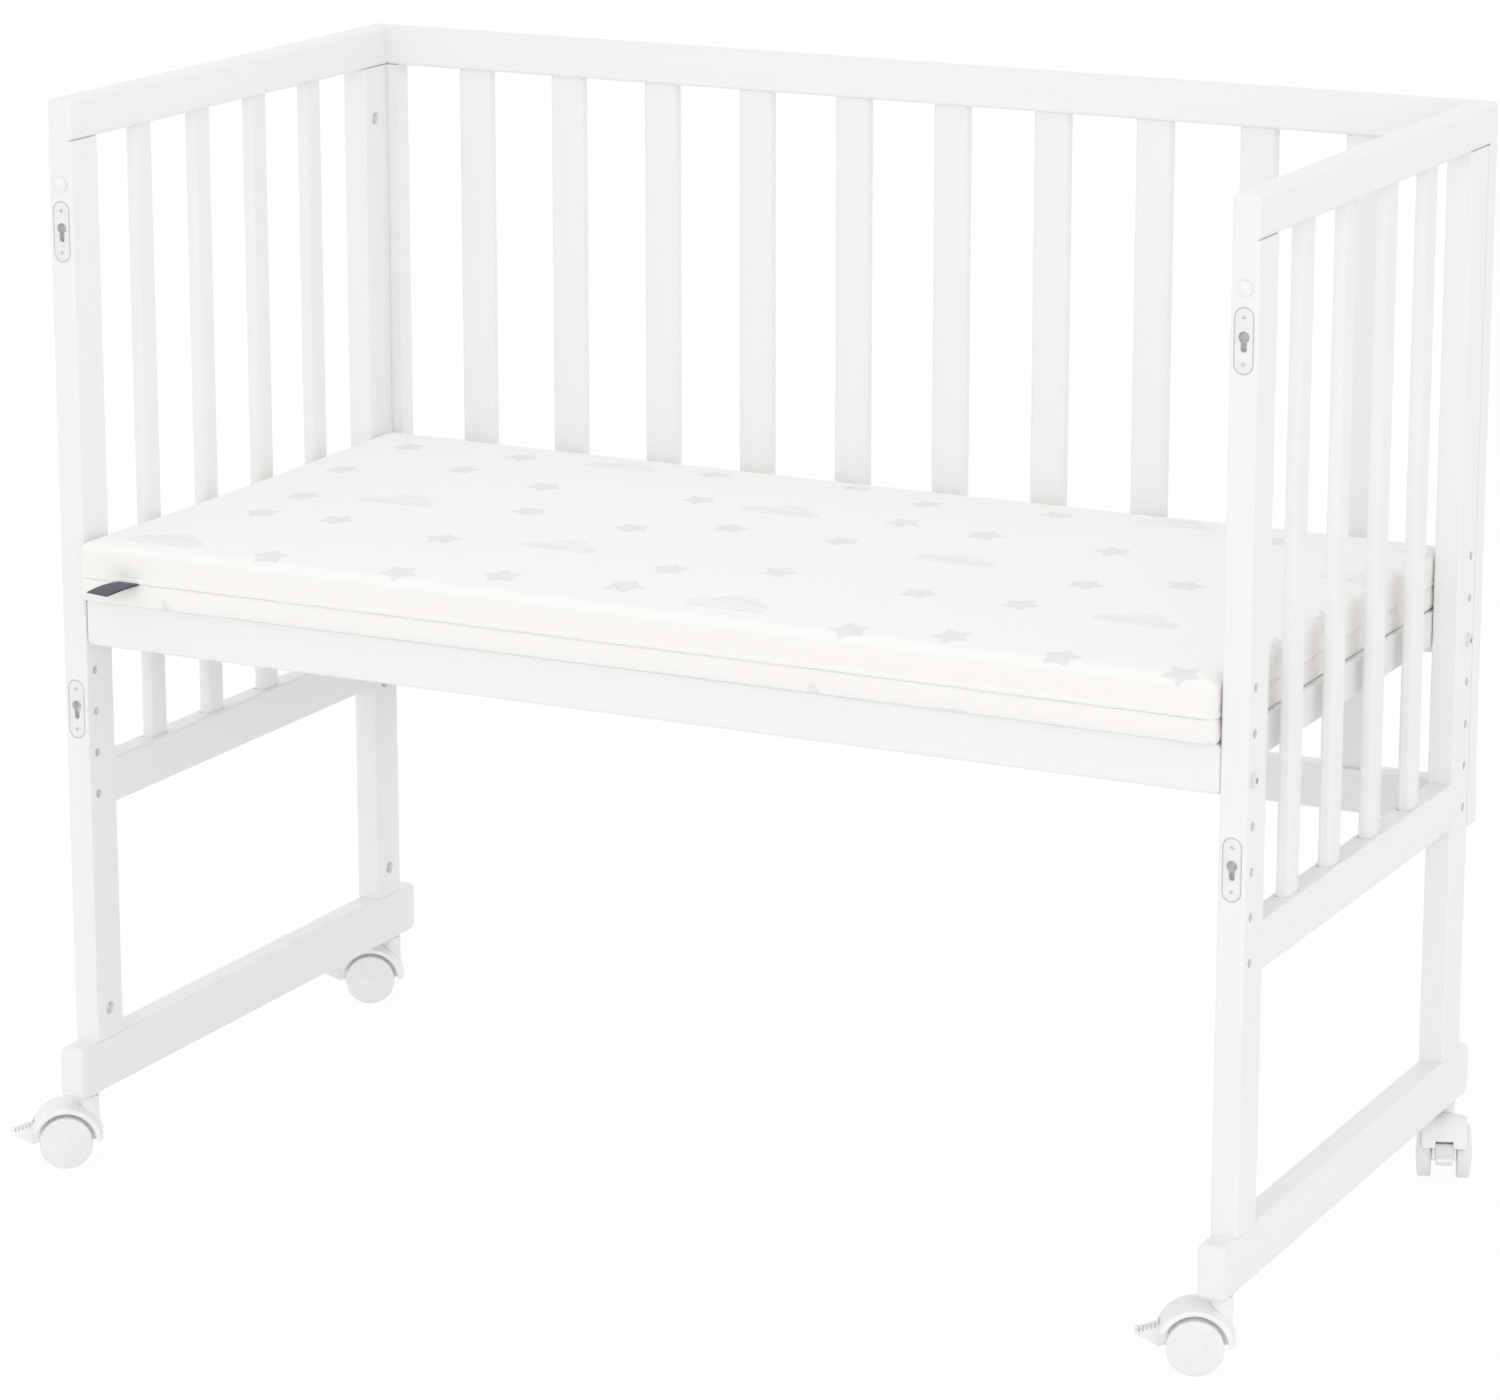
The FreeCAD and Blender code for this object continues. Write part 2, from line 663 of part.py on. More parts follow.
def mattress():
    """The mattress: round lower and upper edges, a seam drawn in all round, and a crowned top."""
    floor = base_top_z + seat_gap
    seam = mattress_seam_height
    edge = mattress_edge_height
    crown = mattress_crown
    bend = mattress_edge_radius
    soft = bend * (1 - math.sqrt(0.5))
    levels = [(4.0, 0.0), (1.2, 1.2), (0.0, 4.5), (0.0, seam - 3.0), (mattress_seam_depth, seam),
              (0.0, seam + 3.0), (0.0, edge - bend), (soft, edge - soft), (bend, edge),
              (7 * bend, edge + crown * 0.7), (15 * bend, edge + crown)]
    outlines = [mattress_outline(inset, floor + height) for inset, height in levels]
    return Part.makeLoft(outlines, True, True)


# ---------------------------------------------------------------- fittings on the frame
def screw_solid(x, z):
    """A countersunk screw, flush with the face of its plate."""
    head = Part.makeCone(screw_head_radius, screw_shank_radius, screw_head_radius - screw_shank_radius,
                         V(x, front_y, z), Y_AXIS)
    shank = cylinder(screw_shank_radius, (x, front_y, z), Y_AXIS, screw_length)
    return head.fuse(shank).removeSplitter()


def plate_screw(x, z):
    """A countersunk screw with a cross recess in its head."""
    cuts = []
    for length, width in ((screw_recess_length, screw_recess_width), (screw_recess_width, screw_recess_length)):
        cuts.append(box((x - length / 2, front_y - 1, z - width / 2),
                        (x + length / 2, front_y + screw_recess_depth, z + width / 2)))
    return cut_all(screw_solid(x, z), cuts)


def keyhole_plate(x, z):
    """A steel plate with round ends, a keyhole in the middle and two countersunk holes."""
    plate = moved(stadium(plate_length, plate_width, plate_thickness, front_y), x, 0, z)
    depth = plate_thickness + 2
    hole_z = z + keyhole_rise
    half = keyhole_slot_width / 2
    foot = hole_z - keyhole_slot_length
    cuts = [cylinder(keyhole_radius, (x, front_y - 1, hole_z), Y_AXIS, depth),
            box((x - half, front_y - 1, foot), (x + half, front_y - 1 + depth, hole_z)),
            cylinder(half, (x, front_y - 1, foot), Y_AXIS, depth)]
    cuts += [screw_solid(x, z + end * plate_screw_spacing / 2) for end in (-1, 1)]
    return cut_all(plate, cuts)


def button(x):
    """The round plastic button above an upper plate, with its stem in the post."""
    solid = domed_head(button_radius, button_height, button_rim)
    solid = solid.fuse(Part.makeCylinder(button_stem_radius, button_stem_length, V(0, 0, 0), -Z_AXIS))
    solid.Placement = FreeCAD.Placement(V(x, front_y, button_z), FreeCAD.Rotation(Z_AXIS, -Y_AXIS))
    return solid.removeSplitter()


def level_bolts():
    """The four bolts through the posts into the ends of the base rails."""
    length = board_thickness + base_end_gap + base_nut_inset + bolt_tip
    return [bolt((side * outer_x, depth * level_hole_y, base_bolt_z), X_AXIS * -side, length)
            for side in SIDES.values() for depth in DEPTHS.values()]


def level_nuts():
    """The barrel nuts of the level bolts, in the undersides of the base rails."""
    reach = base_end_x - base_nut_inset
    return [barrel_nut((side * reach, depth * level_hole_y, base_bolt_z), Z_AXIS, X_AXIS)
            for side in SIDES.values() for depth in DEPTHS.values()]


def foot_bolts():
    """The four bolts from the underside of the foot rails up into the posts."""
    seat = foot_z + foot_bolt_counterbore_depth
    length = foot_rail_height - foot_bolt_counterbore_depth + foot_nut_rise + bolt_tip
    return [bolt((side * panel_x, post_y(depth), seat), Z_AXIS, length)
            for side in SIDES.values() for depth in DEPTHS.values()]


def foot_nuts():
    """The barrel nuts of the foot bolts, in the inner faces of the posts."""
    return [barrel_nut((side * panel_x, post_y(depth), post_z + foot_nut_rise), X_AXIS, Z_AXIS)
            for side in SIDES.values() for depth in DEPTHS.values()]


def back_bolts():
    """The four bolts that hold the back panel to the rear posts."""
    found = []
    for side in SIDES.values():
        for z, thickness in ((back_low_bolt_z, back_bottom_rail_thickness),
                             (back_top_bolt_z, back_rail_thickness)):
            length = thickness + back_nut_inset + bolt_tip
            found.append(bolt((side * panel_x, rear_y + thickness, z), -Y_AXIS, length))
    return found


def back_nuts():
    """The barrel nuts of the back panel's bolts, in the inner faces of the rear posts."""
    return [barrel_nut((side * panel_x, rear_y - back_nut_inset, z), X_AXIS, Y_AXIS)
            for side in SIDES.values() for z in back_bolt_heights()]


# ---------------------------------------------------------------- casters
# Each is built trailing along +X with its stem on the Z axis, then turned and put under a foot rail.
def caster_y(depth):
    """Where a caster's stem stands across the frame."""
    return depth * frame_depth / 2


def polar(radius, angle):
    """A point about the axle, in the caster's own frame."""
    turn = math.radians(angle)
    return V(caster_trail + radius * math.cos(turn), 0, wheel_radius + radius * math.sin(turn))


def slab(face, width):
    """A face in the XZ plane made a solid of the given width, centred on y = 0."""
    return moved(face, y=-width / 2).extrude(V(0, width, 0))


def caster_stem():
    """The threaded pin in the foot rail, with a collar, that the hood turns on."""
    low = hood_column_foot + stem_floor
    pin = cylinder(stem_radius, (0, 0, low), Z_AXIS, caster_height + stem_thread_length - low)
    collar = cylinder(collar_radius, (0, 0, caster_height - collar_height), Z_AXIS, collar_height)
    return pin.fuse(collar).removeSplitter()


def hood_roof():
    """The arched roof over both wheels, crowned across its width, with rounded rims."""
    inner = caster_trail - hood_inner_radius
    outer = inner - hood_thickness
    half = hood_width / 2
    edge = hood_edge_radius
    soft = edge * (1 - math.sqrt(0.5))

    def at(x, y):
        return V(x, y, wheel_radius)

    lines = [Part.makeLine(at(inner, half), at(inner, -half)),
             Part.makeLine(at(inner, -half), at(outer + edge, -half)),
             arc(at(outer + edge, -half), at(outer + soft, soft - half), at(outer, edge - half)),
             arc(at(outer, edge - half), at(outer - hood_crown, 0), at(outer, half - edge)),
             arc(at(outer, half - edge), at(outer + soft, half - soft), at(outer + edge, half)),
             Part.makeLine(at(outer + edge, half), at(inner, half))]
    return Part.Face(Part.Wire(lines)).revolve(polar(0, 0), Y_AXIS, 180 - hood_open_angle)


def hood_wall():
    """The wall between the wheels: a half disc up to the roof, and the boss round the axle."""
    radius = hood_inner_radius + hood_thickness / 2
    outline = [arc(polar(radius, 0), polar(radius, 90), polar(radius, 180)),
               Part.makeLine(polar(radius, 180), polar(radius, 0))]
    wall = slab(Part.Face(Part.Wire(outline)), hood_wall_width)
    near_face = polar(0, 0) - Y_AXIS * (hood_wall_width / 2)
    boss = cylinder(hood_axle_boss_radius, near_face, Y_AXIS, hood_wall_width)
    return wall.fuse(boss)


def pedal_pivot():
    """Centre of the pedal's pivot."""
    return polar(pedal_pivot_reach, pedal_pivot_angle)


def pedal_slot():
    """The space that the pedal needs in the wall and through the end of the roof."""
    half = pedal_width / 2 + pedal_side_gap
    reach = pedal_lug_radius + 2 * pedal_side_gap
    pivot = pedal_pivot()
    end = caster_trail + hood_inner_radius + 3 * hood_thickness
    slot = box((pivot.x, -half, 0), (end, half, pivot.z + reach))
    round_end = cylinder(reach, pivot - Y_AXIS * half, Y_AXIS, 2 * half)
    return slot.fuse([round_end, box((pivot.x - reach, -half, 0), (pivot.x, half, pivot.z))])


def hood():
    """The swivel housing: roof, wall and stem column, open at one end for the pedal."""
    column = cylinder(hood_column_radius, (0, 0, hood_column_foot), Z_AXIS, hood_top - hood_column_foot)
    foot_rim = [e for e in column.Edges if e.BoundBox.ZMax < hood_top / 2]
    column = column.makeFillet(2 * hood_edge_radius, foot_rim)
    top_rim = [e for e in column.Edges if e.BoundBox.ZMin > hood_top - hood_edge_radius]
    column = column.makeFillet(hood_edge_radius / 2, top_rim)
    solid = hood_roof().fuse([hood_wall(), column]).removeSplitter()
    cuts = [cylinder(stem_radius + running_clearance, (0, 0, hood_column_foot + stem_floor - swivel_gap),
                     Z_AXIS, hood_top),
            cylinder(axle_radius, (caster_trail, -hood_width, wheel_radius), Y_AXIS, 2 * hood_width),
            pedal_slot(),
            cylinder(pedal_pivot_radius + running_clearance,
                     pedal_pivot() - Y_AXIS * (hood_wall_width / 2 + 1), Y_AXIS, hood_wall_width + 2)]
    return cut_all(solid, cuts)


def pedal():
    """The brake pedal: a lug on two moulded pivots and a wedge with ribs across its top."""
    origin = polar(0, 0)
    pivot = pedal_pivot()
    root = origin + V(pedal_root_reach, 0, pedal_root_rise)
    tip = origin + V(pedal_tip_reach, 0, pedal_tip_rise)
    tip_low = tip - V(0, 0, pedal_nose)
    nose = (tip + tip_low) * 0.5 + V(pedal_nose / 2, 0, 0)
    heel = origin + V(pedal_heel_reach, 0, -pedal_heel_drop)
    throat = V(pivot.x + pedal_lug_radius, 0, origin.z)
    step = (tip - root) * (1.0 / (2 * pedal_rib_count + 1))
    sink = V(0, 0, -pedal_rib_depth)
    top = [root]
    for i in range(pedal_rib_count):
        start = root + step * (2 * i + 1)
        top += [start, start + sink, start + step + sink, start + step]
    lines = [Part.makeLine(a, b) for a, b in zip(top, top[1:] + [tip])]
    lines.append(arc(tip, nose, tip_low))
    lower = [tip_low, heel, throat, pivot, root]
    lines += [Part.makeLine(a, b) for a, b in zip(lower, lower[1:])]
    body = slab(Part.Face(Part.Wire(lines)), pedal_width)
    lug = cylinder(pedal_lug_radius, pivot - Y_AXIS * (pedal_width / 2), Y_AXIS, pedal_width)
    half = pedal_width / 2 + pedal_pivot_length
    pins = cylinder(pedal_pivot_radius, pivot - Y_AXIS * half, Y_AXIS, 2 * half)
    return body.fuse([lug, pins]).removeSplitter()


def wheel(hand):
    """One wheel: round-edged tread, a domed outer face, a dished inner face and a blind bore."""
    inner, outer = wheel_inner_v, wheel_outer_v
    r, edge = wheel_radius, wheel_edge_radius
    soft = edge * (1 - math.sqrt(0.5))
    dome_foot = outer - wheel_dome
    dish = inner + wheel_dish_depth
    dome = dome_middle(r - edge, dome_foot, outer)
    outline = [V(0, inner, 0), V(wheel_hub_radius, inner, 0), V(wheel_hub_radius + wheel_dish_depth, dish, 0),
               V(r - wheel_rim, dish, 0), V(r - wheel_rim + wheel_dish_depth, inner, 0),
               V(r - edge / 2, inner, 0), V(r, inner + edge / 2, 0), V(r, dome_foot - edge, 0)]
    lines = [Part.makeLine(a, b) for a, b in zip(outline, outline[1:])]
    shoulder = V(r - edge, dome_foot, 0)
    lines.append(arc(outline[-1], V(r - soft, dome_foot - soft, 0), shoulder))
    lines.append(arc(shoulder, V(dome[0], dome[1], 0), V(0, outer, 0)))
    lines.append(Part.makeLine(V(0, outer, 0), outline[0]))
    solid = Part.Face(Part.Wire(lines)).revolve(V(0, 0, 0), Y_AXIS, 360)
    solid = solid.cut(cylinder(axle_radius + running_clearance, (0, 0, 0), Y_AXIS, axle_reach + swivel_gap))
    if hand < 0:
        solid = solid.mirror(V(0, 0, 0), Y_AXIS)
    return moved(solid, caster_trail, 0, wheel_radius)


def axle():
    """The steel axle, held in the hood's web."""
    return cylinder(axle_radius, (caster_trail, -axle_reach, wheel_radius), Y_AXIS, 2 * axle_reach)


def placed(solid, side, depth, heading):
    """A caster piece turned to its heading and put under its foot rail."""
    copy = solid.copy()
    copy.rotate(V(0, 0, 0), Z_AXIS, heading)
    copy.translate(V(side * panel_x, caster_y(depth), 0))
    return copy


def caster_nodes(name, side, depth, heading):
    """The six pieces of one caster, by node name."""
    pieces = {"stem": caster_stem(), "hood": hood(), "axle": axle(), "wheel_a": wheel(1),
              "wheel_b": wheel(-1), "brake_pedal": pedal()}
    return {name + "_caster_" + key: [placed(solid, side, depth, heading)] for key, solid in pieces.items()}


# ---------------------------------------------------------------- all nodes
def build():
    """Every node's solids, by node name."""
    nodes = {}
    for name, side in SIDES.items():
        for end, depth in DEPTHS.items():
            nodes[name + "_" + end + "_post"] = [post(side, depth)]
        nodes[name + "_top_rail"] = [top_rail(side)]
        nodes[name + "_lower_rail"] = [lower_rail(side)]
        nodes[name + "_foot_rail"] = [foot_rail(side)]
        nodes[name + "_slats"] = end_slats(side)
        nodes["back_" + name + "_stile"] = [back_stile(side)]
        nodes["base_" + name + "_rail"] = [base_end_rail(side)]
    nodes["back_top_rail"] = [back_top_rail()]
    nodes["back_bottom_rail"] = [back_bottom_rail()]
    nodes["back_slats"] = back_slats()
    nodes["panel_dowels"] = dowels()
    nodes["base_front_rail"] = [base_long_rail(-1)]
    nodes["base_rear_rail"] = [base_long_rail(1)]
    nodes["base_slats"] = base_slats()
    nodes["base_ledgers"] = base_ledgers()
    nodes["mattress"] = [mattress()]
    plates = [(side * panel_x, z) for side in SIDES.values() for z in plate_heights()]
    nodes["keyhole_plates"] = [keyhole_plate(x, z) for x, z in plates]
    nodes["plate_screws"] = [plate_screw(x, z + end * plate_screw_spacing / 2)
                             for x, z in plates for end in (-1, 1)]
    nodes["gate_buttons"] = [button(side * panel_x) for side in SIDES.values()]
    nodes["level_bolts"] = level_bolts()
    nodes["level_nuts"] = level_nuts()
    nodes["foot_bolts"] = foot_bolts()
    nodes["foot_nuts"] = foot_nuts()
    nodes["back_bolts"] = back_bolts()
    nodes["back_nuts"] = back_nuts()
    nodes.update(caster_nodes("front_left", -1, -1, front_left_heading))
    nodes.update(caster_nodes("front_right", 1, -1, front_right_heading))
    nodes.update(caster_nodes("rear_left", -1, 1, rear_left_heading))
    nodes.update(caster_nodes("rear_right", 1, 1, rear_right_heading))
    return nodes


os.makedirs("parts", exist_ok=True)
for node, solids in build().items():
    shape = solids[0] if len(solids) == 1 else Part.makeCompound(solids)
    shape.exportStep(os.path.join("parts", node + ".step"))
    bounds = shape.BoundBox
    print("%-32s %3d solids %9.1f cm3  valid %s  x %7.1f %7.1f  y %7.1f %7.1f  z %6.1f %6.1f" % (
        node, len(shape.Solids), shape.Volume / 1000, shape.isValid(), bounds.XMin, bounds.XMax,
        bounds.YMin, bounds.YMax, bounds.ZMin, bounds.ZMax))
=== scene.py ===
"""Bedside sleeper crib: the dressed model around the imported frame.

Metres, +Z up, the frame's own axes: X runs along the crib, the open long side faces -Y, and the
floor is z = 0. Each sub-assembly is a class that builds its own pieces and dresses them, and each
finish is a small frozen dataclass that makes one procedural material.
"""
from __future__ import annotations

import json
import logging
import math
import re
from dataclasses import dataclass, field
from enum import Enum
from typing import Iterable, Sequence

import bmesh
import bpy
from mathutils import Euler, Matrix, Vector, noise

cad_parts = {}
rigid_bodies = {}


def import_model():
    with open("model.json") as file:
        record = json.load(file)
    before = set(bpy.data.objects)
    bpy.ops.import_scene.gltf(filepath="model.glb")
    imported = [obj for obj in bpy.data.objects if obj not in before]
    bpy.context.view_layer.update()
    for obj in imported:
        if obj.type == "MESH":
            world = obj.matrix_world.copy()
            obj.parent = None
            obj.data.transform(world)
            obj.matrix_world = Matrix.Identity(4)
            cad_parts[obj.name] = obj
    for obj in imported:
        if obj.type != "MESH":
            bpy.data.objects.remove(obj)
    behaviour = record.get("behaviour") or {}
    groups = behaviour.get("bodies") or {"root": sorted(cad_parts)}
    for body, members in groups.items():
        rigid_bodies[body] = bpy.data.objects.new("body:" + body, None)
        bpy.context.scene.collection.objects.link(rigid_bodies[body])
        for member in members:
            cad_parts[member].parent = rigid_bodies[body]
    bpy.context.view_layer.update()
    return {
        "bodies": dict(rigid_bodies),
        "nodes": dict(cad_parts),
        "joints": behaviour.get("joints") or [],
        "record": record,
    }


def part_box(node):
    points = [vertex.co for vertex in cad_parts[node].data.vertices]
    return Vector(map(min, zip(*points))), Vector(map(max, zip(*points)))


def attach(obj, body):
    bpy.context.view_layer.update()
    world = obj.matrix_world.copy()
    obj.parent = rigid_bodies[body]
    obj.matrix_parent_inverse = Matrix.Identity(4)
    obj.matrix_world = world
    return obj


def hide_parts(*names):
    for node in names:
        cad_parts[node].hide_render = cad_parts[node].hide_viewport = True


LOG = logging.getLogger("crib")

Colour = tuple[float, float, float]
Point = tuple[float, float, float]
Socket = bpy.types.NodeSocket
Material = bpy.types.Material
Mesh = bpy.types.Mesh
Object = bpy.types.Object
MM = 0.001
MERGE_DISTANCE = 1e-6
WHITE = (1.0, 1.0, 1.0)
MOST = (0.3, 0.7)  # between these lie most of a noise's values
WHITE_BOUNCES = 8  # light bounces between the many white faces, so the creases stay pale


# ---- named choices
class Axis(Enum):
    """The direction in which a board's grain runs."""

    X = 0
    Y = 1
    Z = 2


class Body(Enum):
    """The bodies that new pieces ride on."""

    FRAME = "frame"
    MATTRESS = "mattress"


class Slot(Enum):
    """The names of two of the record's material slots."""

    LACQUER = "white_lacquer"
    COVER = "mattress_cover"


# ---- node building
class Tree:
    """A node tree and the short words that it is written in."""

    def __init__(self, tree: bpy.types.NodeTree) -> None:
        """Takes over a tree and empties it."""
        self.tree = tree
        tree.nodes.clear()

    def feed(self, target: Socket, value: object) -> None:
        """Links a socket to an input, or sets the input to a plain value.

        Args:
            target: The input.
            value: A socket, a shader's number, or a plain value.
        """
        value = getattr(value, "socket", value)
        if isinstance(value, Socket):
            self.tree.links.new(value, target)
        elif target.type == "RGBA":
            target.default_value = (*value, 1.0)
        else:
            target.default_value = value

    def node(self, kind: str, inputs: dict | None = None, **settings: object) -> bpy.types.Node:
        """A new node.

        Args:
            kind: Its Blender type.
            inputs: What goes into its inputs, by name or number.
            **settings: Attributes to set on it first.

        Returns:
            The node.
        """
        made = self.tree.nodes.new(kind)
        for key, value in settings.items():
            setattr(made, key, value)
        for key, value in (inputs or {}).items():
            self.feed(made.inputs[key], value)
        return made

    def get(self, kind: str, inputs: dict | None = None, out: str | int = 0,
            **settings: object) -> Socket:
        """One output of a new node, by its name or number."""
        return self.node(kind, inputs, **settings).outputs[out]


class Number:
    """A number in a shader, which plain arithmetic turns into Math nodes."""

    def __init__(self, shade: Shade, socket: Socket) -> None:
        """Keeps the output that carries the number."""
        self.shade, self.socket = shade, socket

    def __add__(self, other: Number | float) -> Number:
        """The sum."""
        return self.shade.math("ADD", self, other)

    def __sub__(self, other: Number | float) -> Number:
        """The difference."""
        return self.shade.math("SUBTRACT", self, other)

    def __rsub__(self, other: float) -> Number:
        """What is left of a plain number."""
        return self.shade.math("SUBTRACT", other, self)

    def __mul__(self, other: Number | float) -> Number:
        """The product."""
        return self.shade.math("MULTIPLY", self, other)

    def __truediv__(self, other: Number | float) -> Number:
        """The quotient."""
        return self.shade.math("DIVIDE", self, other)

    def __abs__(self) -> Number:
        """The size without the sign."""
        return self.shade.math("ABSOLUTE", self)


class Shade(Tree):
    """One material and the words for its patterns."""

    def __init__(self, name: str) -> None:
        """Makes the material with one main shader.

        Args:
            name: The material's name.
        """
        self.material = bpy.data.materials.new(name)
        self.material.use_nodes = True
        super().__init__(self.material.node_tree)
        self.shader = self.node("ShaderNodeBsdfPrincipled")
        self.output = self.node("ShaderNodeOutputMaterial", {
            "Surface": self.shader.outputs["BSDF"]})
        self.point = self.get("ShaderNodeTexCoord", out="Object")

    def put(self, **values: object) -> None:
        """Fills inputs of the main shader, whose names are written with underscores."""
        for key, value in values.items():
            self.feed(self.shader.inputs[key.replace("_", " ")], value)

    def number(self, kind: str, inputs: dict | None = None, out: str | int = 0,
               **settings: object) -> Number:
        """One output of a new node, as a number to reckon with."""
        return Number(self, self.get(kind, inputs, out, **settings))

    def math(self, operation: str, *values: Number | float) -> Number:
        """The result of one Math node, from its inputs in order."""
        return self.number("ShaderNodeMath", dict(enumerate(values)), operation=operation)

    def away(self, x: Number, y: Number) -> Number:
        """The distance of a point from the middle."""
        return self.math("SQRT", x * x + y * y)

    def split(self, vector: Socket) -> list[Number]:
        """A vector's three parts."""
        parts = self.node("ShaderNodeSeparateXYZ", {0: vector})
        return [Number(self, part) for part in parts.outputs]

    def facing(self) -> list[Number]:
        """The three parts of the direction in which the surface faces."""
        return self.split(self.get("ShaderNodeNewGeometry", out="Normal"))

    def fit(self, value: Number, low: float, high: float, to_low: float = 0.0,
            to_high: float = 1.0) -> Number:
        """A value carried smoothly from one range to another, and held at its ends.

        Args:
            value: The value.
            low: Where the range starts.
            high: Where the range ends.
            to_low: The result at the start.
            to_high: The result at the end.

        Returns:
            The result.
        """
        return self.number("ShaderNodeMapRange", {
            "Value": value, "From Min": low, "From Max": high, "To Min": to_low,
            "To Max": to_high}, "Result", interpolation_type="SMOOTHSTEP")

    def grain(self, axis: Axis, across: float, along: float) -> Socket:
        """Object coordinates on a board, whose scale is one across its grain and one along it."""
        return self.scaled([along if axis.value == k else across for k in range(3)])

    def scaled(self, scale: Sequence[float], turn: Point = (0.0, 0.0, 0.0)) -> Socket:
        """Object coordinates, turned about each axis by radians and scaled along it."""
        return self.get("ShaderNodeMapping", {
            "Vector": self.point, "Rotation": turn, "Scale": scale})

    def speckle(self, vector: Socket, scale: float, detail: float = 2.0, rough: float = 0.5,
                distortion: float = 0.0) -> Number:
        """Smooth noise between 0 and 1.

        Args:
            vector: Where the noise is read.
            scale: Its scale.
            detail: Its number of finer layers.
            rough: How strong the finer layers are.
            distortion: How far it is warped.

        Returns:
            The noise.
        """
        return self.number("ShaderNodeTexNoise", {
            "Vector": vector, "Scale": scale, "Detail": detail, "Roughness": rough,
            "Distortion": distortion}, "Fac")

    def blend(self, share: Number, low: Socket | Colour, high: Socket | Colour) -> Socket:
        """A colour between two: the first where the share is 0, the second where it is 1."""
        return self.get("ShaderNodeMix", {0: share, 6: low, 7: high}, 2, data_type="RGBA")

    def bump(self, height: Number, depth: float, strength: float = 1.0) -> None:
        """Gives the shader a relief.

        Args:
            height: The relief, from 0 to 1.
            depth: Its real depth in metres.
            strength: How much of it counts.
        """
        self.put(Normal=self.get("ShaderNodeBump", {
            "Strength": strength, "Distance": depth, "Height": height}, "Normal"))


def shade_of(colour: Colour, factor: float) -> Colour:
    """A colour made lighter or darker by a factor."""
    return tuple(min(1.0, part * factor) for part in colour)


# ---- finishes
@dataclass(frozen=True)
class LacqueredWood:
    """Satin white lacquer on hardwood: faint pores along the grain, and a slightly uneven coat."""

    name: str
    grain: Axis
    tone_attribute: str = ""
    colour: Colour = (0.875, 0.875, 0.87)
    dimmed: float = 0.972
    roughness: float = 0.36
    pores_across: float = 420.0
    pores_along: float = 11.0
    pore_depth: float = 0.16 * MM
    figure_stretch: float = 0.12
    coat_scale: float = 34.0
    peel_scale: float = 640.0
    tone_share: float = 0.35

    def material(self) -> Material:
        """Builds the finish.

        Returns:
            Its material.
        """
        shade = Shade(self.name)
        fine = shade.grain(self.grain, self.pores_across, self.pores_along)
        broad = shade.grain(self.grain, self.pores_across * self.figure_stretch,
                            self.pores_along * self.figure_stretch)
        pores = shade.fit(shade.speckle(fine, 1.0, 4.0, 0.62, 0.35), 0.40, 0.72)
        figure = shade.speckle(broad, 1.0, 2.0, 0.5, 1.2)
        coat = shade.speckle(shade.point, self.coat_scale, 3.0)
        peel = shade.speckle(shade.point, self.peel_scale, 1.0)
        share = pores * 0.35 + figure * 0.65
        if self.tone_attribute:
            tone = shade.number("ShaderNodeAttribute", out="Fac",
                                attribute_name=self.tone_attribute)
            share += tone * self.tone_share
        shade.put(Base_Color=shade.blend(share, self.colour, shade_of(self.colour, self.dimmed)),
                  Roughness=shade.fit(coat, *MOST, self.roughness - 0.05, self.roughness + 0.07),
                  Coat_Weight=0.12, Coat_Roughness=0.22)
        shade.bump(peel * 0.35 - pores * 0.5, self.pore_depth, 0.45)
        return shade.material


@dataclass(frozen=True)
class BareBeech:
    """Untreated beech: short dark flecks along the grain over a warm ground."""

    name: str = "bare_beech_wood"
    grain: Axis = Axis.Z
    light: Colour = (0.62, 0.43, 0.26)
    dark: Colour = (0.42, 0.26, 0.14)
    flecks_across: float = 520.0
    flecks_along: float = 40.0
    band_stretch: float = 0.1

    def material(self) -> Material:
        """Builds the finish.

        Returns:
            Its material.
        """
        shade = Shade(self.name)
        fine = shade.grain(self.grain, self.flecks_across, self.flecks_along)
        broad = shade.grain(self.grain, self.flecks_across * self.band_stretch,
                            self.flecks_along * self.band_stretch)
        flecks = shade.fit(shade.speckle(fine, 1.0, 4.0, 0.6), 0.5, 0.75)
        bands = shade.speckle(broad, 1.0, 2.0, 0.5, 2.0)
        ground = shade.blend(bands, self.light, shade_of(self.light, 0.82))
        shade.put(Base_Color=shade.blend(flecks, ground, self.dark),
                  Roughness=shade.fit(bands, *MOST, 0.55, 0.68))
        shade.bump(flecks, 0.1 * MM, 0.4)
        return shade.material


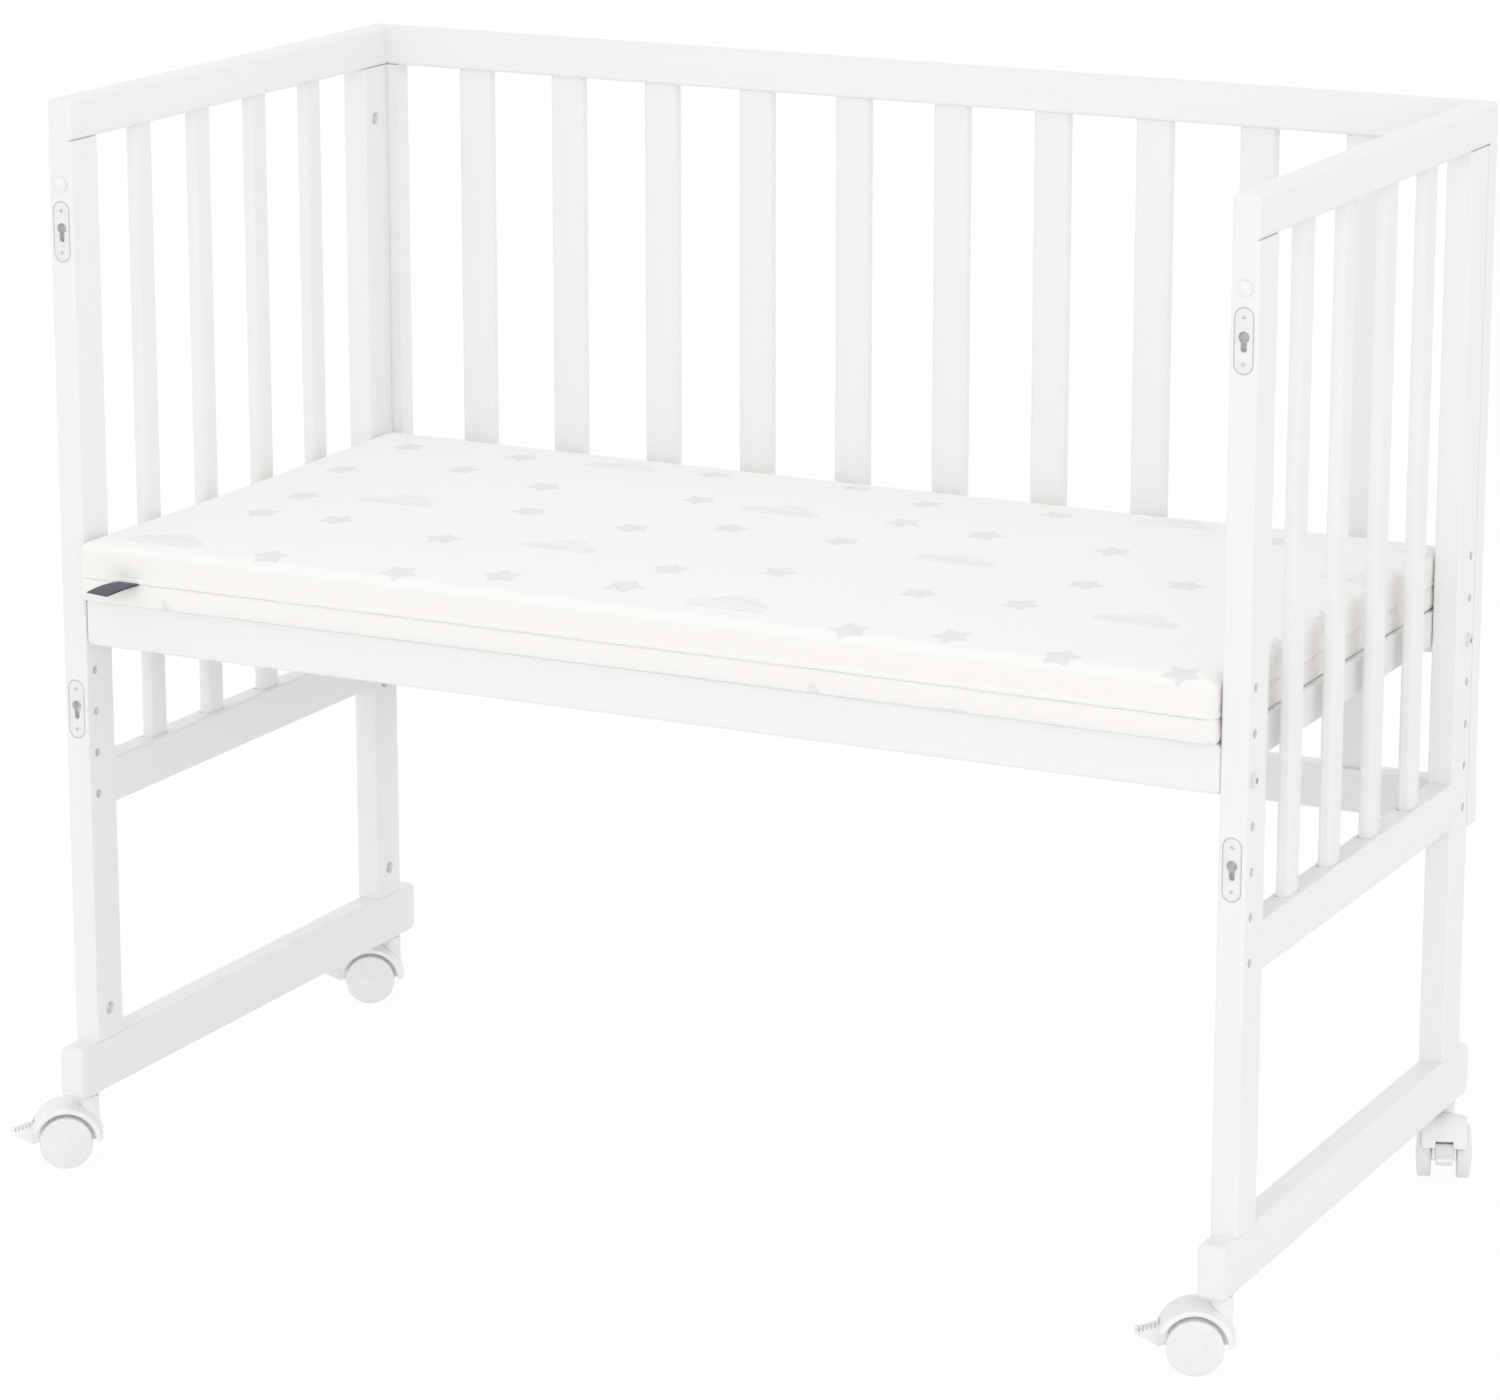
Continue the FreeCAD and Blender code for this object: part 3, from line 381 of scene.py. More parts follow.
@dataclass(frozen=True)
class MouldedPlastic:
    """White moulded plastic with a fine eroded texture, a little uneven where it cooled, with
    painted shade in its creases.
    """

    name: str
    colour: Colour
    roughness: float
    texture: float = 1500.0
    depth: float = 0.05 * MM
    flow_scale: float = 55.0
    scuffs: float = 0.0
    # how far the painted shade in creases reaches, and how dark it gets
    crease: float = 1.2 * MM
    crease_shade: float = 0.55
    # how much faces not turned to the front are darkened, as painted shade
    side_shade: float = 0.0

    def material(self) -> Material:
        """Builds the finish.

        Returns:
            Its material.
        """
        shade = Shade(self.name)
        grainy = shade.speckle(shade.point, self.texture, 2.0, 0.6)
        flow = shade.speckle(shade.point, self.flow_scale, 3.0, 0.55, 0.8)
        # the colour of the painted shade, in creases and on faces turned from the front
        dim = shade_of(self.colour, 0.55)
        colour = shade.blend(shade.fit(flow, 0.3, 0.75), self.colour, shade_of(self.colour, 0.955))
        roughness = shade.fit(flow, *MOST, self.roughness - 0.05, self.roughness + 0.08)
        if self.scuffs:
            streaks = shade.scaled((900.0, 900.0, 60.0), (0.4, 0.2, 0.9))
            marks = shade.fit(shade.speckle(streaks, 1.0, 3.0, 0.7, 0.4), 0.62, 0.74) * self.scuffs
            colour = shade.blend(marks, colour, shade_of(self.colour, 0.72))
            roughness += marks * 0.25
        # painted shade: the colour darkens in creases and grooves, by how closed in each point is
        open_share = shade.number("ShaderNodeAmbientOcclusion", {"Distance": self.crease}, "AO",
                                  samples=8, only_local=True)
        colour = shade.blend((1.0 - open_share) * self.crease_shade, colour, dim)
        # painted shade: every face not turned to the front is darkened
        if self.side_shade:
            edge = shade.fit(shade.facing()[1], -0.85, -0.5) * self.side_shade
            colour = shade.blend(edge, colour, dim)
        shade.put(Base_Color=colour, Roughness=roughness, Subsurface_Weight=0.2,
                  Subsurface_Scale=3.0 * MM, Subsurface_Radius=(1.0, 0.95, 0.9))
        shade.bump(grainy, self.depth, 0.5)
        return shade.material


@dataclass(frozen=True)
class PowderCoat:
    """Sheet steel under a white powder coat: a soft pebbled skin, and painted shade round each
    plate's rim.
    """

    low: Vector
    high: Vector
    name: str = "plate_powder_coat"
    colour: Colour = (0.84, 0.84, 0.84)
    length: float = 45.0 * MM
    width: float = 14.0 * MM
    # how wide the band of painted shade along the plate's edge is, and how soft its inner edge is
    rim: float = 0.9 * MM
    rim_fade: float = 0.2 * MM
    pebble_scale: float = 900.0
    cloud_scale: float = 90.0

    def _painted_rim_shade(self, shade: Shade) -> Number:
        """How near a point is to the rim of its round-ended plate, where painted shade lies.

        Args:
            shade: The material.

        Returns:
            0 on the plate's face, 1 on its rim.
        """
        x, _, z = shade.split(shade.point)
        half, end = self.width / 2, self.length / 2
        across = abs(x) - (self.high.x - half)
        up = shade.math("MINIMUM", abs(z - (self.low.z + end)), abs(z - (self.high.z - end)))
        past = shade.math("MAXIMUM", up - (end - half), 0.0)
        edge = half - self.rim
        return shade.fit(shade.away(across, past), edge - self.rim_fade, edge + self.rim_fade)

    def material(self) -> Material:
        """Builds the finish.

        Returns:
            Its material.
        """
        shade = Shade(self.name)
        pebbles = shade.speckle(shade.point, self.pebble_scale, 2.0, 0.4)
        cloudy = shade.speckle(shade.point, self.cloud_scale)
        ground = shade.blend(shade.fit(cloudy, *MOST), self.colour, shade_of(self.colour, 0.95))
        # painted shade: the colour darkens in a thin band along each plate's rim
        shade.put(Base_Color=shade.blend(self._painted_rim_shade(shade), ground, shade_of(self.colour, 0.72)),
                  Roughness=shade.fit(cloudy, *MOST, 0.28, 0.4), Coat_Weight=0.25,
                  Coat_Roughness=0.2)
        shade.bump(pebbles, 0.08 * MM, 0.35)
        return shade.material


@dataclass(frozen=True)
class PlatedSteel:
    """Zinc-plated steel: fine turning marks round the head and cloudy plating."""

    name: str = "zinc_plated_steel"
    colour: Colour = (0.90, 0.90, 0.905)
    turning_scale: Point = (240.0, 5200.0, 5200.0)
    cloud_scale: float = 420.0

    def material(self) -> Material:
        """Builds the finish.

        Returns:
            Its material.
        """
        shade = Shade(self.name)
        turning = shade.speckle(shade.scaled(self.turning_scale), 1.0, 3.0, 0.6)
        cloudy = shade.speckle(shade.point, self.cloud_scale, 3.0, 0.6)
        shade.put(Base_Color=shade.blend(cloudy, self.colour, shade_of(self.colour, 0.8)),
                  Metallic=1.0, Roughness=shade.fit(cloudy, *MOST, 0.22, 0.42))
        shade.bump(turning, 0.03 * MM, 0.4)
        return shade.material


@dataclass(frozen=True)
class JacquardKnit:
    """The mattress cover: a cream double knit with pale stars and small clouds worked into it."""

    name: str = "mattress_jacquard"
    cream: Colour = (0.985, 0.979, 0.961)
    border: Colour = (0.925, 0.905, 0.875)
    motif: Colour = (0.795, 0.805, 0.79)
    uv_map: str = "cover"
    stitch: float = 1.25 * MM
    cell: float = 92.0 * MM
    star_radius: float = 15.5 * MM
    star_waist: float = 0.60
    motif_edge: float = 0.7 * MM
    drift: float = 21.0 * MM
    seed: float = 7.3
    # the cloud: its three round heads (middle and radius), its flat foot and its bars
    heads: tuple[Point, ...] = ((-19.0, -3.0, 12.5), (2.0, 4.0, 18.0), (21.0, -4.0, 11.5))
    foot: tuple[float, float] = (-11.0 * MM, -9.8 * MM)
    bar_pitch: float = 5.2 * MM
    cloud_every: float = 5.0

    def _local(self, part: Number) -> tuple[Number, Number]:
        """The number of the cell that a coordinate is in, and its place from the cell's middle."""
        index = part.shade.math("FLOOR", part / self.cell)
        return index, part - (index + 0.5) * self.cell

    def _scatter(self, shade: Shade, column: Number, row: Number, layer: float) -> Number:
        """A number between 0 and 1 that is each cell's own."""
        place = shade.get("ShaderNodeCombineXYZ", {0: column, 1: row, 2: self.seed + layer})
        return shade.number("ShaderNodeTexWhiteNoise", {"Vector": place}, noise_dimensions="3D")

    def _star(self, shade: Shade, x: Number, y: Number, turn: Number) -> Number:
        """A soft five-pointed star.

        Args:
            shade: The material.
            x: The place across, from the star's middle.
            y: The place along, from the star's middle.
            turn: How far the star is turned.

        Returns:
            1 inside the star, 0 outside it.
        """
        radius, point = shade.away(x, y), math.pi / 5
        fold = shade.math("PINGPONG", shade.math("ARCTAN2", y, x) + turn, point)
        tip = Vector((self.star_radius, 0.0))
        waist = Vector((math.cos(point), math.sin(point))) * self.star_radius * self.star_waist
        edge = tip - waist
        outward = Vector((-edge.y, edge.x)).normalized()
        reach = (radius * shade.math("COSINE", fold) * outward.x
                 + radius * shade.math("SINE", fold) * outward.y)
        return shade.fit(reach - outward.dot(tip), self.motif_edge, -self.motif_edge)

    def _cloud(self, shade: Shade, x: Number, y: Number) -> Number:
        """A small cloud: three round heads on a flat foot, drawn in thin bars.

        Args:
            shade: The material.
            x: The place across, from the cloud's middle.
            y: The place along, from the cloud's middle.

        Returns:
            1 in the cloud's bars, 0 elsewhere.
        """
        inside = 0.0
        for middle_x, middle_y, radius in self.heads:
            away = shade.away(x - middle_x * MM, y - middle_y * MM)
            radius *= MM
            head = shade.fit(away, radius + self.motif_edge, radius - self.motif_edge)
            inside = shade.math("MAXIMUM", inside, head)
        bars = shade.fit(shade.math("SINE", y * (math.tau / self.bar_pitch)), -0.15, 0.25)
        return inside * shade.fit(y, *self.foot) * bars

    def _motifs(self, shade: Shade, uv: Socket) -> Number:
        """The stars and clouds, one to a cell and each a little off its middle.

        Args:
            shade: The material.
            uv: The cover's own coordinates.

        Returns:
            1 in a star or a cloud, 0 elsewhere.
        """
        snapped = shade.get("ShaderNodeVectorMath", {
            0: uv, 1: (self.stitch, self.stitch * 0.8, 1.0)}, operation="SNAP")
        (column, x), (row, y) = (self._local(part) for part in shade.split(snapped)[:2])
        chances = [self._scatter(shade, column, row, layer) for layer in (0.0, 3.1, 6.4)]
        shift_x, shift_y = ((chance - 0.5) * (2.0 * self.drift) for chance in chances[:2])
        turn = chances[2] * math.tau + 20.0
        lattice = shade.math("FLOORED_MODULO", row * 2.0 + column, self.cloud_every)
        is_cloud = shade.math("LESS_THAN", lattice, 0.5)
        cloud = self._cloud(shade, x, y - shift_y * 0.5)
        star = self._star(shade, x - shift_x, y - shift_y, turn)
        return cloud * is_cloud + star * (1.0 - is_cloud)

    def material(self) -> Material:
        """Builds the finish.

        Returns:
            Its material.
        """
        shade = Shade(self.name)
        uv = shade.get("ShaderNodeUVMap", uv_map=self.uv_map)
        motifs = self._motifs(shade, uv)
        across, along = (part * (math.tau / self.stitch) for part in shade.split(uv)[:2])
        wale = shade.math("SINE", across)
        knit = wale * 0.28 + shade.math("SINE", along + wale * 1.6) * 0.22 + 0.5
        fluff = shade.speckle(shade.point, 260.0, 3.0, 0.7)
        cloudy = shade.fit(shade.speckle(shade.point, 16.0), 0.3, 0.75) * 0.5
        ground = shade.blend(shade.fit(knit, 0.0, 1.0), shade_of(self.cream, 0.945), self.cream)
        ground = shade.blend(cloudy, ground, shade_of(self.cream, 0.965))
        # the sides are blended to a darker, warmer cream than the top, by which way the surface
        # faces
        on_side = shade.fit(abs(shade.facing()[2]), 0.9, 0.2)
        ground = shade.blend(on_side, ground, self.border)
        worn = motifs * shade.fit(fluff, 0.2, 0.8, 0.55, 0.95)
        shade.put(Base_Color=shade.blend(worn, ground, self.motif),
                  Roughness=shade.fit(fluff, 0.2, 0.8, 0.78, 0.92),
                  Sheen_Weight=0.25, Sheen_Roughness=0.5, Specular_IOR_Level=0.25)
        shade.bump(knit * 0.45 + fluff * 0.2 - motifs * 0.35, 0.45 * MM, 0.7)
        return shade.material


@dataclass(frozen=True)
class WovenTape:
    """Thread or label cloth: fine crossing threads."""

    name: str
    colour: Colour
    thread: float = 0.5 * MM
    roughness: float = 0.7
    sheen: float = 0.2

    def material(self) -> Material:
        """Builds the finish.

        Returns:
            Its material.
        """
        shade = Shade(self.name)
        waves = [shade.math("SINE", part * (math.tau / self.thread))
                 for part in shade.split(shade.point)]
        weave = shade.fit(waves[0] * waves[1] + waves[2], -1.6, 1.6)
        fluff = shade.speckle(shade.point, 700.0)
        share = weave * 0.6 + fluff * 0.4
        shade.put(Base_Color=shade.blend(share, *(shade_of(self.colour, k) for k in (0.8, 1.12))),
                  Roughness=shade.fit(fluff, *MOST, self.roughness - 0.08, self.roughness + 0.08),
                  Sheen_Weight=self.sheen, Sheen_Roughness=0.4)
        shade.bump(weave, 0.12 * MM, 0.6)
        return shade.material


# ---- geometry nodes and meshes
class Recipe(Tree):
    """A Geometry Nodes tree with named inputs."""

    def __init__(self, name: str) -> None:
        """Starts an empty tree.

        Args:
            name: The tree's name.
        """
        super().__init__(bpy.data.node_groups.new(name, "GeometryNodeTree"))
        for way in ("OUTPUT", "INPUT"):
            self.tree.interface.new_socket(name="Geometry", in_out=way,
                                           socket_type="NodeSocketGeometry")
        self.entry = self.node("NodeGroupInput")
        self.values: dict[str, object] = {}

    def take(self, name: str, kind: str, value: object) -> Socket:
        """Adds a named input and its value.

        Args:
            name: The input's name.
            kind: Its socket type, such as Float or Int.
            value: The value that the modifier gets.

        Returns:
            The input's socket inside the tree.
        """
        socket = self.tree.interface.new_socket(name=name, in_out="INPUT",
                                                socket_type="NodeSocket" + kind)
        self.values[socket.identifier] = value
        return next(out for out in self.entry.outputs if out.identifier == socket.identifier)

    def close(self, geometry: Socket, material: Socket) -> None:
        """Ends the tree in Realize Instances and Set Material.

        Args:
            geometry: What the tree made.
            material: The material's input.
        """
        real = self.get("GeometryNodeRealizeInstances", {"Geometry": geometry})
        dressed = self.get("GeometryNodeSetMaterial", {"Geometry": real, "Material": material})
        self.node("NodeGroupOutput", {"Geometry": dressed})

    def bake(self, name: str, start: Mesh, body: Body) -> Object:
        """Runs the tree on a start mesh and keeps the result as a plain mesh on a body.

        Args:
            name: The piece's name.
            start: The mesh that enters the tree.
            body: The body that the piece rides on.

        Returns:
            The finished piece.
        """
        carrier = bpy.data.objects.new(name, start)
        bpy.context.scene.collection.objects.link(carrier)
        modifier = carrier.modifiers.new(name, "NODES")
        modifier.node_group = self.tree
        for identifier, value in self.values.items():
            modifier[identifier] = value
        bpy.context.view_layer.update()
        graph = bpy.context.evaluated_depsgraph_get()
        mesh = bpy.data.meshes.new_from_object(carrier.evaluated_get(graph),
                                               preserve_all_data_layers=True, depsgraph=graph)
        carrier.modifiers.clear()
        carrier.data = mesh
        mesh.name = name
        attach(carrier, body.value)
        LOG.info("%s: %d faces", name, len(mesh.polygons))
        return carrier


def soften(mesh: Mesh, angle: float = 32.0) -> None:
    """Shades a mesh smooth, apart from edges sharper than an angle in degrees."""
    mesh.shade_smooth()
    mesh.set_sharp_from_angle(angle=math.radians(angle))


def refine(piece: Object) -> None:
    """Gives a piece one subdivision."""
    finer = piece.modifiers.new("finer", "SUBSURF")
    finer.levels = finer.render_levels = 1


def band(low: list[int], high: list[int]) -> list[tuple[int, ...]]:
    """The faces between two closed rings of points, given by number."""
    return [(a, b, d, c) for a, b, c, d in zip(low, low[1:] + low[:1], high, high[1:] + high[:1])]


def mesh_piece(name: str, points: Iterable[Vector], faces: Iterable[Sequence[int]],
               material: Material) -> Object:
    """An object made from points and faces.

    Args:
        name: The piece's name.
        points: Its points.
        faces: Its faces, by point number.
        material: Its finish.

    Returns:
        The object, linked to the scene.
    """
    mesh = bpy.data.meshes.new(name)
    mesh.from_pydata([tuple(point) for point in points], [], [tuple(face) for face in faces])
    mesh.materials.append(material)
    mesh.validate()
    piece = bpy.data.objects.new(name, mesh)
    bpy.context.scene.collection.objects.link(piece)
    return piece


# ---- slats
# the turn that lays a slat drawn along Z, with its width along X, on a row's two axes
SLAT_TURNS = {(Axis.Z, Axis.X): (0.0, 0.0, 0.0), (Axis.Z, Axis.Y): (0.0, 0.0, math.pi / 2),
              (Axis.Y, Axis.X): (-math.pi / 2, 0.0, 0.0)}


@dataclass
class SlatRow:
    """One row of equal slats, in the place of its CAD node."""

    node: str
    count: int
    along: Axis
    across: Axis
    width: float
    finish: Material
    edge_radius: float = 3.5 * MM
    edge_steps: int = 6
    seed: int = 11
    tone_attribute: str = "tone"

    def build(self) -> None:
        """Builds the row with Geometry Nodes, in place of its node."""
        low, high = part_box(self.node)
        size, step, first = high - low, Vector(), low.copy()
        run, spread = self.along.value, self.across.value
        thick = 3 - run - spread
        step[spread] = (size[spread] - self.width) / (self.count - 1)
        first[spread] += self.width / 2
        first[thick] += size[thick] / 2
        recipe = Recipe(self.node + "_recipe")
        count, width, thickness, length, edge, pitch, start, seed, finish = (
            recipe.take(*row) for row in (
                ("Count", "Int", self.count), ("Width", "Float", self.width),
                ("Thickness", "Float", size[thick]), ("Length", "Float", size[run]),
                ("Edge radius", "Float", self.edge_radius), ("Pitch", "Vector", tuple(step)),
                ("First slat", "Vector", tuple(first)), ("Seed", "Int", self.seed),
                ("Finish", "Material", self.finish)))

        outline = recipe.get("GeometryNodeCurvePrimitiveQuadrilateral", {
            "Width": width, "Height": thickness})
        rounded = recipe.get("GeometryNodeFilletCurve", {
            "Count": self.edge_steps, "Curve": outline, "Radius": edge}, mode="POLY")
        filled = recipe.get("GeometryNodeFillCurve", {0: rounded}, mode="NGONS")
        raised = recipe.get("GeometryNodeExtrudeMesh", {
            "Offset": (0.0, 0.0, 1.0), "Mesh": filled, "Offset Scale": length}, mode="FACES")
        both = recipe.node("GeometryNodeJoinGeometry", {0: raised})
        recipe.feed(both.inputs[0], recipe.get("GeometryNodeFlipFaces", {"Mesh": filled}))
        whole = recipe.get("GeometryNodeMergeByDistance", {
            "Geometry": both.outputs[0], "Distance": MERGE_DISTANCE})
        laid = recipe.get("GeometryNodeTransform", {
            "Geometry": whole, "Rotation": SLAT_TURNS[self.along, self.across]})
        line = recipe.get("GeometryNodeMeshLine", {
            "Count": count, "Start Location": start, "Offset": pitch}, mode="OFFSET")
        copies = recipe.get("GeometryNodeInstanceOnPoints", {"Points": line, "Instance": laid})
        chance = recipe.node("FunctionNodeRandomValue", {"Seed": seed}, data_type="FLOAT")
        toned = recipe.get("GeometryNodeStoreNamedAttribute", {
            "Name": self.tone_attribute, "Geometry": copies,
            "Value": next(out for out in chance.outputs if out.enabled)},
            data_type="FLOAT", domain="INSTANCE")
        recipe.close(toned, finish)
        piece = recipe.bake(self.node + "_row", bpy.data.meshes.new(self.node), Body.FRAME)
        soften(piece.data)
        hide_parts(self.node)


# ---- mattress
@dataclass
class MattressShape:
    """Sizes of the mattress, which fill the space of its CAD solid."""

    low: Vector
    high: Vector
    corner_radius: float = 8.0 * MM
    least_radius: float = 4.0 * MM
    side_draw: float = 3.0 * MM
    crown: float = 4.0 * MM
    edge_height: float = 48.0 * MM
    upper_bend: float = 8.5 * MM
    upper_draw: float = 14.0 * MM
    lower_bend: float = 4.5 * MM
    lower_draw: float = 3.0 * MM
    seam_height: float = 19.0 * MM
    seam_inset: float = 0.9 * MM
    seam_depth: float = 2.0 * MM
    # heights of the rings between the two bends, closer round the seam, and how far each sinks
    walls: tuple[tuple[float, float], ...] = (
        (6.5, 0.0), (8.5, 0.0), (10.5, 0.0), (12.5, 0.06), (14.5, 0.17), (16.5, 0.36),
        (18.0, 0.68), (18.9, 1.0), (19.3, 0.5), (20.4, 0.34), (22.5, 0.2), (26.0, 0.06),
        (30.0, 0.0), (34.0, 0.0))
    bend_steps: int = 8
    columns: int = 120
    rows: int = 60
    corner_steps: int = 5

    def profile(self) -> list[tuple[float, float, float]]:
        """The side's outline from the underside up.

        Returns:
            For each ring: how far it is set in, its height, and its share of the seam's depth.
        """
        turns = [k * math.pi / 2 / self.bend_steps for k in range(self.bend_steps + 1)]
        low = [(self.lower_draw * (1 - math.sin(a)), self.lower_bend * (1 - math.cos(a)), 0.0)
               for a in turns]
        wall = [(0.0, height * MM, share) for height, share in self.walls]
        high = [(self.upper_draw * (1 - math.cos(a)),
                 self.edge_height - self.upper_bend * (1 - math.sin(a)), 0.0) for a in turns]
        return [(2.0 * self.lower_draw, 0.0, 0.0)] + low + wall + high

    @property
    def middle(self) -> Vector:
        """The middle of the outline, at the underside."""
        middle = (self.low + self.high) / 2
        return Vector((middle.x, middle.y, self.low.z))

    def edge_point(self, step: int, inset: float) -> Vector:
        """A point of the rounded outline that belongs to a step round the border of the grid.

        Args:
            step: The step, from 0 at the front-left corner, running along the front first.
            inset: How far the outline is drawn in.

        Returns:
            The point, at height 0.
        """
        x, y = (self.high - self.low).xy / 2
        run, outward = Vector((1, 0)), Vector((0, -1))
        for count, reach, depth in ((self.columns, x, y), (self.rows, y, x)) * 2:
            if step < count:
                break
            step -= count
            run, outward = -outward, run
        bend = self.corner_steps
        before, after = bend - step, step - (count - bend)
        turn = max(before, after, 0) / bend * math.pi / 4
        sense = -1.0 if before > 0 else 1.0
        radius = max(self.corner_radius - inset, self.least_radius)
        straight = reach - inset - radius
        share = (step - bend) / (count - 2 * bend)
        along = sense * straight if turn else -straight + 2 * straight * share
        normal = outward * math.cos(turn) + run * (sense * math.sin(turn))
        point = run * along + outward * (depth - inset - radius) + normal * radius
        if not turn:
            point -= outward * (self.side_draw * (1 - (along / straight) ** 2))
        return Vector((point.x, point.y, 0.0))

    def ring(self, inset: float, height: float) -> list[Vector]:
        """The closed outline at a height.

        Args:
            inset: How far it is drawn in, in metres.
            height: Its height above the underside.

        Returns:
            The points in order, seen from above anticlockwise.
        """
        lift = self.middle + Vector((0, 0, height))
        steps = 2 * (self.columns + self.rows)
        return [self.edge_point(step, inset) + lift for step in range(steps)]

    def cap(self, border: list[Vector], crown: float) -> list[Vector]:
        """The inner points of the grid that fills an outline, raised in the middle.

        Args:
            border: The outline, as ring gives it.
            crown: The rise of the middle.

        Returns:
            The points, row by row from the front.
        """
        columns, rows, middle = self.columns, self.rows, self.middle
        front = border[:columns + 1]
        right = border[columns:columns + rows + 1]
        back = border[columns + rows:2 * columns + rows + 1][::-1]
        left = (border[2 * columns + rows:] + border[:1])[::-1]
        reach = [max(abs(point[k] - middle[k]) for point in border) for k in range(2)]
        points = []
        for j in range(1, rows):
            v = j / rows
            for i in range(1, columns):
                u = i / columns
                corners = (front[0] * ((1 - u) * (1 - v)) + front[-1] * (u * (1 - v))
                           + back[0] * ((1 - u) * v) + back[-1] * (u * v))
                sides = front[i] * (1 - v) + back[i] * v + left[j] * (1 - u) + right[j] * u
                point = sides - corners
                off = [min(1.0, abs(point[k] - middle[k]) / reach[k]) for k in range(2)]
                rise = ((1 - off[0] ** 4) * (1 - off[1] ** 4)) ** 1.5
                points.append(point + Vector((0, 0, crown * rise)))
        return points


@dataclass(frozen=True)
class Wave:
    """Smooth unevenness of the cloth, by its pace along each axis and where it starts."""

    pace: Point
    start: Point = (0.0, 0.0, 0.0)

    def at(self, place: Vector) -> float:
        """The wave at a place, between -1 and 1."""
        return noise.noise(Vector([part * pace + start for part, pace, start
                                   in zip(place, self.pace, self.start)]))


@dataclass(frozen=True)
class BeadRow:
    """Small rounded links all round the mattress's seam: how far in and up, and their size."""

    name: str
    inset: float
    rise: float
    pitch: float
    size: Point

    def build(self, shape: MattressShape, material: Material) -> None:
        """Builds the row with Geometry Nodes.

        Args:
            shape: The mattress that it runs round.
            material: Its finish.
        """
        path = shape.ring(shape.seam_inset + self.inset, shape.seam_height + self.rise)
        line = bpy.data.meshes.new(self.name)
        line.from_pydata([tuple(point) for point in path],
                         [(i, (i + 1) % len(path)) for i in range(len(path))], [])
        recipe = Recipe(self.name + "_recipe")
        spacing, extent, finish = (recipe.take(*row) for row in (
            ("Pitch", "Float", self.pitch), ("Link size", "Vector", self.size),
            ("Finish", "Material", material)))
        curve = recipe.get("GeometryNodeMeshToCurve", {"Mesh": recipe.entry.outputs["Geometry"]})
        even = recipe.get("GeometryNodeResampleCurve", {"Curve": curve, "Length": spacing},
                          mode="LENGTH")
        ball = recipe.get("GeometryNodeMeshIcoSphere", {"Radius": 0.5, "Subdivisions": 1})
        tangent = recipe.get("GeometryNodeInputTangent")
        aim = recipe.get("FunctionNodeAlignRotationToVector", {"Vector": tangent}, axis="X",
                         pivot_axis="Z")
        links = recipe.get("GeometryNodeInstanceOnPoints", {
            "Points": even, "Instance": ball, "Rotation": aim, "Scale": extent})
        recipe.close(links, finish)
        piece = recipe.bake(self.name, line, Body.MATTRESS)
        piece.data.shade_smooth()


STITCHES = BeadRow("mattress_stitches", -0.35 * MM, 1.5 * MM, 3.2 * MM,
                   (2.4 * MM, 0.35 * MM, 0.35 * MM))
ZIP = BeadRow("mattress_zip", 0.6 * MM, -0.6 * MM, 1.6 * MM, (0.9 * MM, 0.9 * MM, 0.9 * MM))


@dataclass(frozen=True)
class Label:
    """The folded cloth tab, sewn into the seam by one end near the front-left corner."""

    place: Point = (36.5 * MM, 2.0 * MM, -0.2 * MM)  # from the corner, at the seam
    width: float = 18.0 * MM
    reach: Point = (-12.5, -26.0, -4.0)
    fold: float = 1.6
    gap: float = 0.45 * MM
    arch: float = 1.3 * MM
    droop: float = 1.2 * MM
    thickness: float = 0.35 * MM
    across: int = 12
    along: int = 24

    def build(self, corner: Vector, cloth: Material) -> None:
        """Builds the tab.

        Args:
            corner: The front-left corner of the mattress, at the seam's height.
            cloth: Its finish.
        """
        root, reach = corner + Vector(self.place), Vector(self.reach) * MM
        points = []
        for j in range(self.along + 1):
            turn = 2.0 * j / self.along - 1.0
            out = 1.0 - abs(turn) ** self.fold
            layer = math.copysign(self.gap, turn) * math.sqrt(max(0.0, 1.0 - out ** 8))
            for i in range(self.across + 1):
                s = i / self.across
                arch = self.arch * math.sin(math.pi * out) * (1.0 - 0.5 * s)
                lift = layer + arch - self.droop * s * out
                points.append(root + Vector((self.width * s, 0.0, lift)) + reach * out)
        row = self.across + 1
        faces = [(j * row + i, j * row + i + 1, (j + 1) * row + i + 1, (j + 1) * row + i)
                 for j in range(self.along) for i in range(self.across)]
        piece = mesh_piece("mattress_label", points, faces, cloth)
        piece.data.shade_smooth()
        thick = piece.modifiers.new("cloth", "SOLIDIFY")
        thick.thickness, thick.offset = self.thickness, 0.0
        refine(piece)
        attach(piece, Body.MATTRESS.value)


# how the cover stretches, shears and bends while its stuffing swells it
CLOTH = {"quality": 5, "mass": 0.3, "tension_stiffness": 18.0, "compression_stiffness": 14.0,
         "shear_stiffness": 8.0, "bending_stiffness": 1.2, "use_pressure": True,
         "uniform_pressure_force": 4.0}


